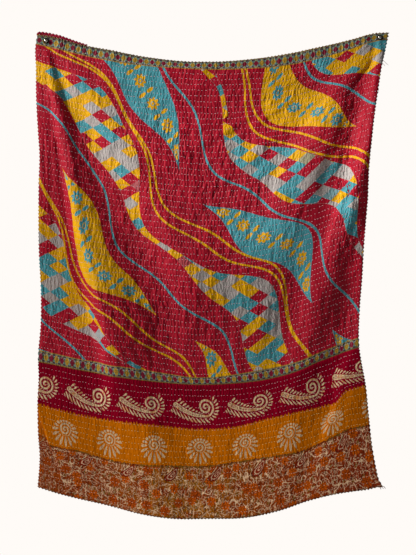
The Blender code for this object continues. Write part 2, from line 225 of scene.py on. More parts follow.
@dataclass(frozen=True)
class HungShape:
    """The cloth's hanging shape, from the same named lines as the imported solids.

    v is the distance down the cloth from its top edge, in metres, and p the share of the way across it.
    """

    thickness: float = 0.0025
    top_v: float = 0.0
    seam_v: float = 1.146
    bottom_v: float = 1.623
    fold_rounding: float = 0.36
    narrowest_fold: float = 0.004
    pins: tuple[tuple[float, float], ...] = ((-0.595, -0.006), (0.595, 0.006))
    pin_cloth_depth: float = 0.005
    pin_flat_radius: float = 0.021
    pin_blend_radius: float = 0.052

    # v of each line that is level when the cloth lies flat.
    LINE_V = (0.0, 0.025, 1.118, 1.146, 1.305, 1.433, 1.623)
    # p, then the height z in millimetres of each line there.
    LINE_HEIGHTS = (
        (0.00, (17, -17, -1111, -1150, -1300, -1432, -1596)),
        (0.05, (7, -32, -1122, -1161, -1318, -1452, -1616)),
        (0.12, (-18, -56, -1140, -1178, -1339, -1466, -1638)),
        (0.20, (-38, -78, -1155, -1194, -1357, -1494, -1660)),
        (0.30, (-63, -95, -1171, -1210, -1373, -1514, -1690)),
        (0.40, (-79, -106, -1189, -1223, -1384, -1517, -1707)),
        (0.50, (-82, -112, -1201, -1230, -1391, -1517, -1707)),
        (0.60, (-74, -107, -1194, -1226, -1383, -1504, -1704)),
        (0.70, (-56, -97, -1175, -1214, -1354, -1486, -1680)),
        (0.80, (-30, -73, -1148, -1185, -1326, -1462, -1640)),
        (0.88, (-6, -45, -1112, -1146, -1306, -1418, -1618)),
        (0.91, (4, -32, -1100, -1134, -1296, -1400, -1613)),
        (0.93, (12, -22, -1092, -1126, -1265, -1388, -1610)),
        (0.96, (21, -10, -1080, -1113, -1250, -1380, -1606)),
        (1.00, (24, 0, -1064, -1098, -1239, -1371, -1595)),
    )
    # v, then x of the left and of the right edge.
    SIDE_EDGES = (
        (0.0, -0.626, 0.626), (0.03, -0.632, 0.622), (0.11, -0.6305, 0.6025), (0.2, -0.63, 0.586),
        (0.34, -0.623, 0.564), (0.42, -0.618, 0.555), (0.52, -0.6205, 0.5475), (0.62, -0.621, 0.544),
        (0.77, -0.619, 0.534), (0.91, -0.612, 0.528), (1.02, -0.6125, 0.521), (1.146, -0.622, 0.52),
        (1.2, -0.62, 0.527), (1.29, -0.624, 0.542), (1.4, -0.623, 0.554), (1.5, -0.617, 0.567),
        (1.623, -0.624, 0.595),
    )
    # Each fold line's rows: z, x and the depth of the cloth's back in front of the wall, in millimetres.
    FOLD_LINES = (
        (  # left edge
            (-10, -660, 5), (-80, -660, 3), (-255, -660, 3), (-433, -660, 8), (-621, -660, 12),
            (-976, -660, 16), (-1285, -660, 15), (-1640, -660, 12),
        ),
        (  # foot outside the outer left fold
            (-10, -624, 5), (-80, -622, 5), (-160, -612, 7), (-255, -589, 10), (-433, -553, 10),
            (-621, -528, 10), (-812, -485, 11), (-976, -454, 12), (-1107, -426, 13), (-1285, -408, 14),
            (-1640, -400, 12),
        ),
        (  # crest of the outer left fold
            (-10, -592, 6), (-80, -585, 11), (-160, -568, 16), (-255, -546, 22), (-433, -514, 32),
            (-621, -476, 50), (-716, -452, 63), (-812, -422, 76), (-976, -384, 87), (-1107, -352, 80),
            (-1195, -325, 50), (-1285, -300, 36), (-1400, -230, 34), (-1500, -205, 33), (-1640, -188, 28),
        ),
        (  # foot between the left folds
            (-10, -578, 5), (-80, -562, 6), (-160, -540, 8), (-255, -512, 9), (-344, -460, 10),
            (-433, -425, 13), (-521, -385, 17), (-621, -330, 25), (-716, -276, 36), (-812, -222, 47),
            (-976, -172, 56), (-1107, -150, 50), (-1285, -120, 31), (-1640, -60, 24),
        ),
        (  # crest of the inner left fold
            (-10, -560, 6), (-80, -515, 17), (-160, -450, 28), (-255, -378, 37), (-344, -318, 45),
            (-433, -268, 53), (-521, -225, 58), (-621, -172, 65), (-716, -128, 75), (-812, -82, 79),
            (-976, -78, 64), (-1107, -90, 53), (-1285, -60, 30), (-1640, 20, 25),
        ),
        (  # foot inside the inner right fold
            (0, 520, 6), (-80, 440, 16), (-160, 374, 20), (-255, 315, 25), (-344, 264, 30),
            (-433, 222, 37), (-621, 150, 57), (-812, 100, 71), (-976, 80, 60), (-1107, 70, 47),
            (-1285, 60, 31), (-1640, 90, 26),
        ),
        (  # crest of the inner right fold
            (0, 566, 6), (-80, 540, 22), (-160, 480, 37), (-255, 444, 52), (-344, 390, 61),
            (-433, 338, 65), (-621, 248, 70), (-812, 182, 68), (-976, 150, 56), (-1107, 140, 44),
            (-1285, 140, 32), (-1640, 140, 27),
        ),
        (  # foot between the right folds
            (0, 580, 5), (-80, 562, 17), (-160, 534, 29), (-255, 506, 41), (-433, 470, 50),
            (-621, 416, 55), (-812, 340, 49), (-976, 285, 40), (-1107, 240, 34), (-1285, 200, 32),
            (-1640, 200, 27),
        ),
        (  # crest of the outer right fold
            (0, 600, 6), (-80, 598, 28), (-160, 588, 52), (-255, 572, 76), (-433, 536, 93),
            (-621, 480, 84), (-716, 449, 72), (-812, 418, 60), (-976, 352, 45), (-1107, 318, 38),
            (-1285, 274, 34), (-1640, 270, 27),
        ),
        (  # foot outside the outer right fold
            (0, 618, 5), (-80, 614, 20), (-160, 606, 38), (-255, 593, 60), (-433, 574, 74),
            (-621, 552, 66), (-812, 505, 46), (-976, 482, 26), (-1107, 462, 20), (-1195, 424, 19),
            (-1285, 415, 22), (-1445, 366, 23), (-1640, 320, 23),
        ),
        (  # crest of the lower right fold
            (0, 640, 5), (-433, 640, 62), (-812, 570, 46), (-976, 540, 29), (-1107, 505, 26),
            (-1195, 474, 29), (-1285, 453, 32), (-1400, 410, 28), (-1500, 385, 26), (-1640, 372, 24),
        ),
        (  # right edge
            (0, 680, 5), (-433, 680, 56), (-812, 620, 44), (-976, 620, 28), (-1107, 620, 21),
            (-1285, 620, 12), (-1640, 640, 8),
        ),
    )

    def side_edges(self, v: Array) -> tuple[Array, Array]:
        """The x of the left and of the right edge at distances down the cloth."""
        stations, left, right = zip(*self.SIDE_EDGES)
        return smooth_curve(v, stations, left), smooth_curve(v, stations, right)

    def height(self, v: Array, p: Array) -> Array:
        """How high the cloth's lines hang.

        Args:
            v: Distances down the cloth.
            p: Shares of the way across.

        Returns:
            The heights z.
        """
        stations, rows = zip(*self.LINE_HEIGHTS)
        heights = np.array([smooth_curve(p, stations, line) for line in zip(*rows)]) * MM
        left = np.clip(np.searchsorted(self.LINE_V, v, side="right") - 1, 0, len(self.LINE_V) - 2)
        above, below = np.take(self.LINE_V, left), np.take(self.LINE_V, left + 1)
        t = (v - above) / (below - above)
        index = np.arange(len(p))
        return heights[left, index] * (1 - t) + heights[left + 1, index] * t

    def depth(self, x: Array, z: Array) -> Array:
        """How far the cloth's back stands in front of the wall, from the fold lines.

        Args:
            x: Places across the wall.
            z: Heights.

        Returns:
            The depths.
        """
        lines = []
        for rows in self.FOLD_LINES:
            stations, *curves = (np.array(rows[::-1], float) * MM).T
            lines.append([smooth_curve(z, stations, curve) for curve in curves])
        depth = lines[0][1]
        for (x_before, depth_before), (x_line, depth_line) in zip(lines, lines[1:]):
            width = np.maximum(x_line - x_before, self.narrowest_fold)
            ramp = rounded_ramp((x - x_before) / width, self.fold_rounding)
            depth = depth + (depth_line - depth_before) * ramp
        return depth

    def grip(self, x: Array, z: Array) -> Array:
        """How free of the pins the cloth is.

        Args:
            x: Places across the wall.
            z: Heights.

        Returns:
            0 where a pin holds the cloth flat, rising to 1 where it hangs free.
        """
        grip = np.ones_like(x)
        for pin_x, pin_z in self.pins:
            away = np.hypot(x - pin_x, z - pin_z) - self.pin_flat_radius
            t = np.clip(away / (self.pin_blend_radius - self.pin_flat_radius), 0.0, 1.0)
            grip = grip * (3 * t**2 - 2 * t**3)
        return grip

    def back_point(self, v: Array, p: Array) -> Array:
        """Points of the cloth's back face.

        Args:
            v: Distances down the cloth.
            p: Shares of the way across.

        Returns:
            The points, as an array of x, y and z.
        """
        left, right = self.side_edges(v)
        x = left + (right - left) * p
        z = self.height(v, p)
        depth = self.pin_cloth_depth + (self.depth(x, z) - self.pin_cloth_depth) * self.grip(x, z)
        return np.stack([x, -depth, z], axis=-1)


@dataclass(frozen=True)
class Crease:
    """A single crease that runs down the cloth: a ridge, a trough or a tuck whose left side is set back.

    The path's rows are v, then u. Sizes in metres.
    """

    path: tuple[tuple[float, float], ...]
    height: float
    width: float
    tuck: bool = False
    fade: float = 0.025

    def relief(self, u: Array, v: Array) -> Array:
        """The crease's height over the smooth cloth.

        Args:
            u: Places across the flat cloth.
            v: Places down it.

        Returns:
            The heights, 0 beyond the crease's ends.
        """
        stations, places = zip(*self.path)
        aside = (u - smooth_curve(v, stations, places)) / self.width
        begun = np.clip((v - stations[0]) / self.fade, 0.0, 1.0)
        unended = np.clip((stations[-1] - v) / self.fade, 0.0, 1.0)
        section = 0.5 * np.tanh(aside) - 0.5 if self.tuck else np.exp(-(aside**2))
        return self.height * section * (begun * unended)


@dataclass(frozen=True)
class Quilting:
    """The running stitch and the relief that it pulls into the cloth. Sizes in metres."""

    cut_width: float = 1.27
    stitch_pitch: float = 1.27 / 103
    # Length, width and height of a stitch.
    stitch_size: tuple[float, float, float] = (0.0052, 0.0018, 0.0016)
    stitch_lift: float = 0.0005
    rib_height: float = 0.0003
    pucker_height: float = 0.00058
    crease_height: float = 0.0015
    ruck_height: float = 0.0014
    crumple_height: float = 0.0011
    crumple_z: float = -0.42
    crumple_spread: float = 0.33
    # Wrinkles that spread from a pin: their rise per metre, and where they stop rising, turn fine and fade.
    streak_share: float = 0.0075
    streak_reach: float = 0.3
    fine_start: float = 0.25
    fine_blend: float = 0.2
    streak_end: float = 0.55
    streak_fade: float = 0.25
    wander: float = 0.0036
    slack_mean: float = 0.94
    slack_unevenness: float = 0.3
    foot_tightness: float = 0.3
    foot_v: float = 1.13
    foot_blend: float = 0.03
    cells_per_stitch: int = 4
    cells_per_row: int = 3

    # Where the cloth lies fuller, or tighter if negative: by how much, then middle and spread in u and in v.
    SLACK_PATCHES = (
        (0.4, 0.64, 0.4, 0.4, 0.32),
        (0.5, 0.54, 0.2, 0.86, 0.28),
        (0.9, 1.19, 0.05, 0.5, 0.25),
        (-0.85, 1.06, 0.06, 0.62, 0.3),
    )
    PHASE = SmoothNoise(3)
    SLACK = SmoothNoise(5)
    CREASE = SmoothNoise(8)
    RUCK = SmoothNoise(13)
    WANDER = SmoothNoise(21)
    STREAK = SmoothNoise(34)
    CRUMPLE = SmoothNoise(55)
    CREASES = (
        Crease(((0.008, 0.026), (0.08, 0.036), (0.14, 0.052), (0.2, 0.07), (0.29, 0.1)), 0.0034, 0.038),
        Crease(((0.015, 0.062), (0.06, 0.092), (0.12, 0.122), (0.2, 0.158)), 0.0014, 0.014),
        Crease(((0.006, 1.24), (0.046, 1.243), (0.085, 1.249), (0.15, 1.253), (0.25, 1.257)), 0.003, 0.009),
        Crease(
            ((0.07, 1.248), (0.095, 1.236), (0.135, 1.205), (0.17, 1.175), (0.22, 1.142)), -0.0038, 0.0135
        ),
        Crease(((0.35, 0.022), (0.414, 0.0205), (0.461, 0.021), (0.515, 0.028)), -0.0024, 0.0035),
        Crease(((0.42, 1.03), (0.6, 1.045), (0.75, 1.06), (0.92, 1.07), (1.08, 1.075)), 0.0036, 0.036),
        Crease(((0.42, 1.165), (0.6, 1.185), (0.75, 1.198), (0.92, 1.208), (1.08, 1.212)), -0.0036, 0.034),
        Crease(((1.04, 0.2), (1.093, 0.219), (1.126, 0.233), (1.18, 0.246)), 0.002, 0.007),
        Crease(((1.06, 0.272), (1.12, 0.283), (1.17, 0.291), (1.25, 0.3)), 0.0034, 0.03),
        Crease(((1.06, 0.183), (1.12, 0.193), (1.17, 0.201), (1.25, 0.21)), -0.0034, 0.03),
        Crease(
            ((1.315, 0.002), (1.36, 0.013), (1.393, 0.03), (1.44, 0.043), (1.466, 0.056), (1.52, 0.08)),
            0.0036, 0.0016, tuck=True,
        ),
    )

    def streaks(self, x: Array, z: Array, pins: Sequence[tuple[float, float]]) -> Array:
        """The wrinkles that spread from the pins.

        Args:
            x: Places on the hung cloth.
            z: Their heights.
            pins: x and z of each pin.

        Returns:
            Their relief in metres.
        """
        relief = np.zeros_like(x)
        for number, (pin_x, pin_z) in enumerate(pins):
            inward = (x - pin_x) * -math.copysign(1.0, pin_x)
            far = np.hypot(inward, pin_z - z)
            turn = np.arctan2(pin_z - z, inward)
            broad = self.STREAK.at(turn / 0.075 + 40.0 * number, far / 0.4 + 7.0 * number)
            fine = self.STREAK.at(turn / 0.034 + 90.0 * number, far / 0.33 - 7.0 * number)
            share = np.clip((far - self.fine_start) / self.fine_blend, 0.0, 1.0)
            streak = broad * (1 - share) + fine * share
            past = np.clip(far - self.streak_end, 0.0, None) / self.streak_fade
            rise = streak * np.minimum(far, self.streak_reach)
            relief += rise * np.exp(-(past**2)) * np.clip(turn * 4, 0, 1)
        return relief * self.streak_share

    def bend(self, u: Array, v: Array, x: Array, z: Array, pins: Sequence[tuple[float, float]]) -> Array:
        """Height of the broad waves that both faces follow.

        Args:
            u: Places across the flat cloth.
            v: Places down it.
            x: Places on the hung cloth.
            z: Their heights.
            pins: x and z of each pin.

        Returns:
            The height in metres.
        """
        band = np.exp(-(((z - self.crumple_z) / self.crumple_spread) ** 2))
        crumple = self.CRUMPLE.at(x / 0.026 + z / 0.06, z / 0.05) * band
        ruck = self.RUCK.at(u / 0.055 + v / 0.3, v / 0.12) * self.slack(u, v)
        return self.streaks(x, z, pins) + crumple * self.crumple_height + ruck * self.ruck_height

    def phase(self, u: Array, v: Array) -> Array:
        """Where in its stitch the cloth is: whole numbers lie midway between two stitches."""
        drift = 0.6 * self.PHASE.at(u / 0.14, v / 0.04) + 0.5 * self.PHASE.at(u / 0.036 + 40, v / 0.017)
        return u / self.stitch_pitch + drift

    def slack(self, u: Array, v: Array) -> Array:
        """How loosely the cloth lies: fuller in the middle, tight towards the corners and in the strip.

        Args:
            u: Places across the flat cloth.
            v: Places down it.

        Returns:
            The slack, about 1.
        """
        slack = self.slack_mean + self.slack_unevenness * self.SLACK.at(u / 0.11, v / 0.13)
        for amount, middle_u, spread_u, middle_v, spread_v in self.SLACK_PATCHES:
            slack += amount * np.exp(-(((u - middle_u) / spread_u) ** 2) - ((v - middle_v) / spread_v) ** 2)
        return slack * (1.0 - self.foot_tightness * np.clip((v - self.foot_v) / self.foot_blend, 0.0, 1.0))

    def row_wander(self, u: Array, v: Array) -> Array:
        """How far a stitched row strays from its straight line."""
        return self.wander * self.WANDER.at(u / 0.21, v / 0.05)

    def height(self, u: Array, v: Array, row_share: Array) -> Array:
        """Height of the front over the smooth cloth.

        Args:
            u: Places across the flat cloth.
            v: Places down it.
            row_share: Place between two stitched rows; whole numbers lie on a row.

        Returns:
            The height in metres, lowest under the stitches.
        """
        on_row = 0.5 + 0.5 * np.cos(math.tau * row_share)
        pucker = np.cos(math.tau * self.phase(u, v)) * (0.6 + 0.4 * on_row)
        crease = self.CREASE.at(u / 0.014, v / 0.026)
        loose = self.pucker_height * pucker + self.crease_height * crease
        return self.rib_height * (1 - 2 * on_row) + self.slack(u, v) * loose


# Pattern maths on the cloth -----------


def wire(tree: NodeTree, node: Node, links: Links) -> None:
    """Set or link the inputs of a node. A node among the values stands for its first output.

    Args:
        tree: The node tree.
        node: The node.
        links: Value, socket, node or Reading for each input that is given, by name or number.
    """
    for name, value in links.items():
        value = value.socket if isinstance(value, Reading) else value
        value = value.outputs[0] if isinstance(value, Node) else value
        if isinstance(value, NodeSocket):
            tree.links.new(value, node.inputs[name])
        else:
            node.inputs[name].default_value = value


def add_node(tree: NodeTree, kind: str, links: Links | None = None, **settings: object) -> Node:
    """Add a node with its settings, and set or link its inputs.

    Args:
        tree: The node tree.
        kind: The node's type name.
        links: Value, socket, node or Reading for each input that is given, by name or number.
        settings: The node's own properties.

    Returns:
        The new node.
    """
    node = tree.nodes.new(kind)
    for name, value in settings.items():
        setattr(node, name, value)
    wire(tree, node, links or {})
    return node


def read_node(tree: NodeTree, kind: str, links: Links, **settings: object) -> Reading:
    """Add a node as add_node does, and read its first output."""
    return Reading(tree, add_node(tree, kind, links, **settings))


class Reading:
    """A number read off the cloth at each point, as a node or socket that takes Python's arithmetic."""

    def __init__(self, tree: NodeTree, socket: Node | NodeSocket) -> None:
        """Keep the socket and the tree that it is in."""
        self.tree = tree
        self.socket = socket

    def joined(self, operation: str, *others: object, clamp: bool = False) -> Reading:
        """This number and the others, through one Math node that may clamp the outcome from 0 to 1."""
        links = dict(enumerate((self, *others)))
        return read_node(self.tree, "ShaderNodeMath", links, operation=operation, use_clamp=clamp)

    # Arithmetic, the whole number below, and the angle whose tangent is this over the other.
    __add__ = partialmethod(joined, "ADD")
    __sub__ = partialmethod(joined, "SUBTRACT")
    __rsub__ = partialmethod(joined, "MULTIPLY_ADD", -1.0)
    __mul__ = partialmethod(joined, "MULTIPLY")
    __truediv__ = partialmethod(joined, "DIVIDE")
    __neg__ = partialmethod(joined, "MULTIPLY", -1.0)
    __abs__ = partialmethod(joined, "ABSOLUTE")
    whole = partialmethod(joined, "FLOOR")
    turn_from = partialmethod(joined, "ARCTAN2")
    # Where this mask and the other both hold, and where either does.
    both = partialmethod(joined, "MULTIPLY")
    either = partialmethod(joined, "MAXIMUM")

    def centred(self, pitch: float) -> Reading:
        """Distance from the nearest middle of cells that are pitch wide, from -pitch/2 to pitch/2."""
        return self - ((self / pitch).whole() + 0.5) * pitch

    def wave(self, length: float, start: float = 0.0) -> Reading:
        """Sine of this distance, with the given wavelength."""
        return self.joined("MULTIPLY_ADD", math.tau / length, start).joined("SINE")

    def length_with(self, other: Reading) -> Reading:
        """Distance from zero of the point with this and the other as coordinates."""
        return (self * self + other * other).joined("SQRT")

    def held(self, low: float, high: float) -> Reading:
        """The number kept between low and high."""
        return self.joined("MAXIMUM", low).joined("MINIMUM", high)

    def under(self, limit: object, softness: float) -> Reading:
        """1 where the number is below the limit and 0 above it, over an edge of the given softness."""
        return ((-self + limit) / softness).joined("ADD", 0.5, clamp=True)

    def over(self, limit: object, softness: float) -> Reading:
        """1 where the number is above the limit and 0 below it, with a soft edge likewise."""
        return ((self - limit) / softness).joined("ADD", 0.5, clamp=True)


class ClothCoordinates:
    """The flat cloth's coordinates in millimetres inside a material, and noise for its prints."""

    def __init__(self, tree: NodeTree) -> None:
        """Read the flat map: across and down in millimetres.

        Args:
            tree: The material's node tree.
        """
        self.tree = tree
        scaling = {0: add_node(tree, "ShaderNodeUVMap", uv_map="cloth"), 1: (1000.0, 1000.0, 0.0)}
        self.point = add_node(tree, "ShaderNodeVectorMath", scaling, operation="MULTIPLY")
        parts = add_node(tree, "ShaderNodeSeparateXYZ", {0: self.point})
        self.across = Reading(tree, parts.outputs[0])
        self.down = Reading(tree, parts.outputs[1])

    def mark(self, name: str) -> Reading:
        """A number that is stored on the cloth's points, by its name."""
        stored = add_node(self.tree, "ShaderNodeAttribute", attribute_name=name)
        return Reading(self.tree, stored.outputs["Fac"])

    def noise(self, size: float, detail: float = 1.0, stretch: float = 1.0, seed: float = 0.0) -> Reading:
        """Smooth noise from 0 to 1.

        Args:
            size: Width of its bumps in millimetres.
            detail: Octaves of finer noise.
            stretch: How many times taller than wide its bumps are.
            seed: Another number gives another noise.

        Returns:
            The noise.
        """
        scale = (1 / size, 1 / size / stretch, 1.0)
        placing = {"Vector": self.point, "Location": (seed, seed * 0.7, seed), "Scale": scale}
        placed = add_node(self.tree, "ShaderNodeMapping", placing)
        noise = {"Vector": placed, "Scale": 1.0, "Detail": detail}
        return read_node(self.tree, "ShaderNodeTexNoise", noise, noise_dimensions="3D")

    def unsettled(self, shift: float, size: float, seed: float) -> tuple[Reading, Reading]:
        """Across and down, moved by up to shift in patches of a size, as in a print made by hand."""
        moved = [(self.noise(size, seed=start) - 0.5) * (2 * shift) for start in (seed, seed + 31.0)]
        return self.across + moved[0], self.down + moved[1]

    def cells(self, x: Reading, y: Reading, size: float, uneven: float) -> tuple[Reading, Reading, Reading]:
        """Scattered cells.

        Args:
            x: Distance across.
            y: Distance down.
            size: Width of a cell.
            uneven: How much their middles stray from an even grid, from 0 to 1.

        Returns:
            The place from the cell's middle, x and y, and a random number for the cell.
        """
        place = add_node(self.tree, "ShaderNodeCombineXYZ", {0: x, 1: y})
        scatter = {"Vector": place, "Scale": 1 / size, "Randomness": uneven}
        cell = add_node(self.tree, "ShaderNodeTexVoronoi", scatter, voronoi_dimensions="2D")
        middle = add_node(self.tree, "ShaderNodeSeparateXYZ", {0: cell.outputs["Position"]})
        chance = add_node(self.tree, "ShaderNodeSeparateColor", {0: cell.outputs["Color"]})
        return (
            x - Reading(self.tree, middle.outputs[0]),
            y - Reading(self.tree, middle.outputs[1]),
            Reading(self.tree, chance),
        )

    def chance(self, column: Reading, row: Reading) -> Reading:
        """A random number from 0 to 1 for each whole column and row."""
        place = {"Vector": add_node(self.tree, "ShaderNodeCombineXYZ", {0: column, 1: row})}
        return read_node(self.tree, "ShaderNodeTexWhiteNoise", place, noise_dimensions="2D")


class Paint:
    """Layers of flat colour, each printed over the ones before."""

    def __init__(self, tree: NodeTree, ground: str) -> None:
        """Start with the ground colour, given as sRGB hex."""
        self.tree, self.color = tree, add_node(tree, "ShaderNodeRGB").outputs[0]
        self.color.default_value = linear_color(ground)

    def mix(self, share: Reading | float, other: object, **settings: object) -> None:
        """Mix another colour into the paint.

        Args:
            share: The other colour's share.
            other: The other colour.
            settings: The mix's own properties.
        """
        links = {0: share, 6: self.color, 7: other}
        mixed = add_node(self.tree, "ShaderNodeMix", links, data_type="RGBA", **settings)
        self.color = mixed.outputs[2]

    def lay(self, mask: Reading, color: str) -> None:
        """Print a colour, given as sRGB hex, where the mask is 1."""
        self.mix(mask, linear_color(color), clamp_factor=True)

    def scaled(self, factor: Reading) -> None:
        """Make the colour lighter or darker by a factor."""
        self.multiplied(add_node(self.tree, "ShaderNodeCombineColor", {0: factor, 1: factor, 2: factor}))

    def multiplied(self, factors: Node) -> None:
        """Multiply red, green and blue each by its factor."""
        self.mix(1.0, factors, blend_type="MULTIPLY")


@dataclass(frozen=True)
class Ground:
    """What a motif is printed on: the cloth, its paint, and the place across and down under the block."""

    cloth: ClothCoordinates
    paint: Paint
    across: Reading
    down: Reading


def ellipse(x: Reading, y: Reading, half_x: object, half_y: object) -> Reading:
    """1 on the rim of an ellipse around zero, less inside and more outside."""
    return (x / half_x).length_with(y / half_y)


def petal(x: Reading, y: Reading, width: float, length: Reading | float) -> Reading:
    """Mask of a drop that stands on zero, points along y and is fuller towards its tip."""
    half = (y / length).held(0.0, 1.0) * (width * 0.62) + width * 0.38
    return (x / half).length_with((y / length - 0.5) * 2.0).under(1.0, 0.22)


# Prints -------------------------------


class Dye(str, Enum):
    """The dyes of the two panels."""

    CRIMSON = "#B6112C"
    DEEP_CRIMSON = "#8F0020"
    YELLOW = "#EBAE00"
    TURQUOISE = "#51A2AE"
    ASH = "#B5ADA9"
    MARIGOLD = "#CE6E00"
    CREAM = "#EAD0A2"
    ROSE_CREAM = "#DCC29C"
    RUST = "#943E12"
    RUST_BROWN = "#64230C"
    BLUSH = "#F0C8A0"
    FLAME = "#CC5C0E"
    OCHRE = "#A8660F"
    OLIVE = "#7E5A1C"
    OXBLOOD = "#8C2A14"
    SAGE = "#8C9273"
    PALE_TEAL = "#66A59E"
    PLUM = "#46233F"
    ROSE = "#8C1430"
    GOLD = "#BE9626"
    MUSTARD = "#B98412"


@dataclass(frozen=True)
class BorderPrint:
    """Woven border of the sari: rosettes in two colours by turns, between bars, with a line each side."""

    height: float
    upper_v: float = 0.0
    squash: float = 1.0
    cell: float = 20.5
    rosette: float = 8.2

    def lay(self, ground: Ground) -> None:
        """Lay the border over the cloth.

        Args:
            ground: What it is laid on.
        """
        paint, below = ground.paint, ground.down - self.upper_v
        on = below.over(0.0, 0.8).both(below.under(self.height, 0.8))
        y = below - self.height / 2
        x = ground.across.centred(self.cell)
        odd = (ground.across / self.cell).whole().joined("FLOORED_MODULO", 2.0)
        paint.lay(on, Dye.SAGE)
        bar_x = self.cell / 2 - abs(x)
        bars = abs(bar_x - 3.0).under(1.5, 0.6).both(abs(y).under(9.0, 1.0))
        paint.lay(on.both(bars), Dye.PALE_TEAL)
        corners = abs(bar_x - 2.4).under(2.2, 0.6).both(abs(abs(y) - self.height * 0.32).under(2.0, 0.6))
        posts = bar_x.under(0.9, 0.6).both(abs(y).under(5.5, 1.0))
        paint.lay(on.both(corners.either(posts)), Dye.PLUM)
        edge = (y.turn_from(x) * 6.0).joined("COSINE") * 0.07 + 1.0
        far = x.length_with(y * self.squash) / self.rosette
        flower = on.both(far.under(edge, 0.2))
        paint.lay(flower.both(odd), Dye.GOLD)
        paint.lay(flower.both(-odd + 1.0), Dye.ROSE)
        paint.lay(on.both(abs(far - 0.45).under(0.08, 0.12)) * 0.6, Dye.PLUM)
        paint.lay(on.both(abs(y).over(self.height / 2 - 1.9, 0.6)), Dye.MUSTARD)


@dataclass(frozen=True)
class WaveField:
    """Main print: waves aslant over the crimson ground, filled with lozenges or with blossoms by turns."""

    repeat: float = 452.0
    slant: float = math.radians(47.0)
    lozenge_middle: float = 96.0
    lozenge_width: float = 72.0
    lozenge_height: float = 46.0
    blossom_middle: float = 318.0
    blossom_pitch: float = 92.0
    line_width: float = 8.0

    # The plain waving lines: place in the repeat, start of the wave and dye.
    LINES = ((196.0, 0.3, Dye.YELLOW), (222.0, 1.9, Dye.YELLOW), (420.0, 4.0, Dye.TURQUOISE))
    # The lozenges' dyes over the yellow: chance above which each is used.
    LOZENGES = ((0.36, Dye.TURQUOISE), (0.62, Dye.ASH), (0.86, Dye.CRIMSON))

    def lay(self, ground: Ground) -> None:
        """Print the waves over the crimson ground.

        Args:
            ground: What they are printed on.
        """
        cos, sin = math.cos(self.slant), math.sin(self.slant)
        along = ground.across * cos + ground.down * sin
        aside = ground.across * sin - ground.down * cos
        aside = aside + along.wave(840.0, 2.2) * 58.0 + along.wave(330.0, 0.5) * 15.0 + 1500.0
        turn = (aside / self.repeat).whole()
        place = aside - turn * self.repeat
        swell = (along + turn * 270.0).wave(930.0)
        self.lay_lozenges(ground, place - self.lozenge_middle, swell * 40.0 + 48.0)
        narrow = (along + turn * 350.0).wave(760.0, 2.6)
        self.lay_blossoms(ground.paint, along, place - self.blossom_middle, narrow * 44.0 + 36.0, turn)
        for middle, start, dye in self.LINES:
            line = place - middle - along.wave(1100.0, start) * 16.0
            ground.paint.lay(abs(line).under(self.line_width / 2, 1.2), dye)

    def lay_lozenges(self, ground: Ground, aside: Reading, half: Reading) -> None:
        """Print the wave of lozenges in four colours.

        Args:
            ground: What they are printed on.
            aside: Distance from the wave's middle line.
            half: Half the wave's width.
        """
        x, y = ground.across / self.lozenge_width, ground.down / self.lozenge_height
        chance = ground.cloth.chance((x + y).whole(), (x - y).whole())
        on = abs(aside).under(half, 1.5)
        ground.paint.lay(on, Dye.YELLOW)
        for share, dye in self.LOZENGES:
            ground.paint.lay(on.both(chance.over(share, 0.01)), dye)

    def lay_blossoms(
        self, paint: Paint, along: Reading, aside: Reading, half: Reading, turn: Reading
    ) -> None:
        """Print the wave of round blossoms, with leaves between them, in two colours by turns.

        Args:
            paint: The cloth's paint.
            along: Distance along the wave.
            aside: Distance from its middle line.
            half: Half its width.
            turn: Which repeat of the print it is.
        """
        on = abs(aside).under(half, 1.5)
        x = along.centred(self.blossom_pitch)
        far = x.length_with(aside)
        petals = abs((aside.turn_from(x) * 4.0).joined("COSINE")) * 9.5 + 14.5
        blossom = far.under(petals, 1.2).both(abs(far - 7.0).over(1.3, 0.8))
        leaf_x = abs(x) - self.blossom_pitch / 2
        leaf = ellipse(leaf_x, abs(aside) - 17.5, 6.8, 15.0).under(1.0, 0.15)
        figure = blossom.either(leaf).both(abs(aside).under(half - 4.0, 1.5))
        odd = turn.joined("FLOORED_MODULO", 2.0)
        for side, field_dye, figure_dye in (
            (odd, Dye.TURQUOISE, Dye.YELLOW), (-odd + 1.0, Dye.YELLOW, Dye.TURQUOISE),
        ):
            paint.lay(on.both(side), field_dye)
            paint.lay(on.both(side).both(figure), figure_dye)


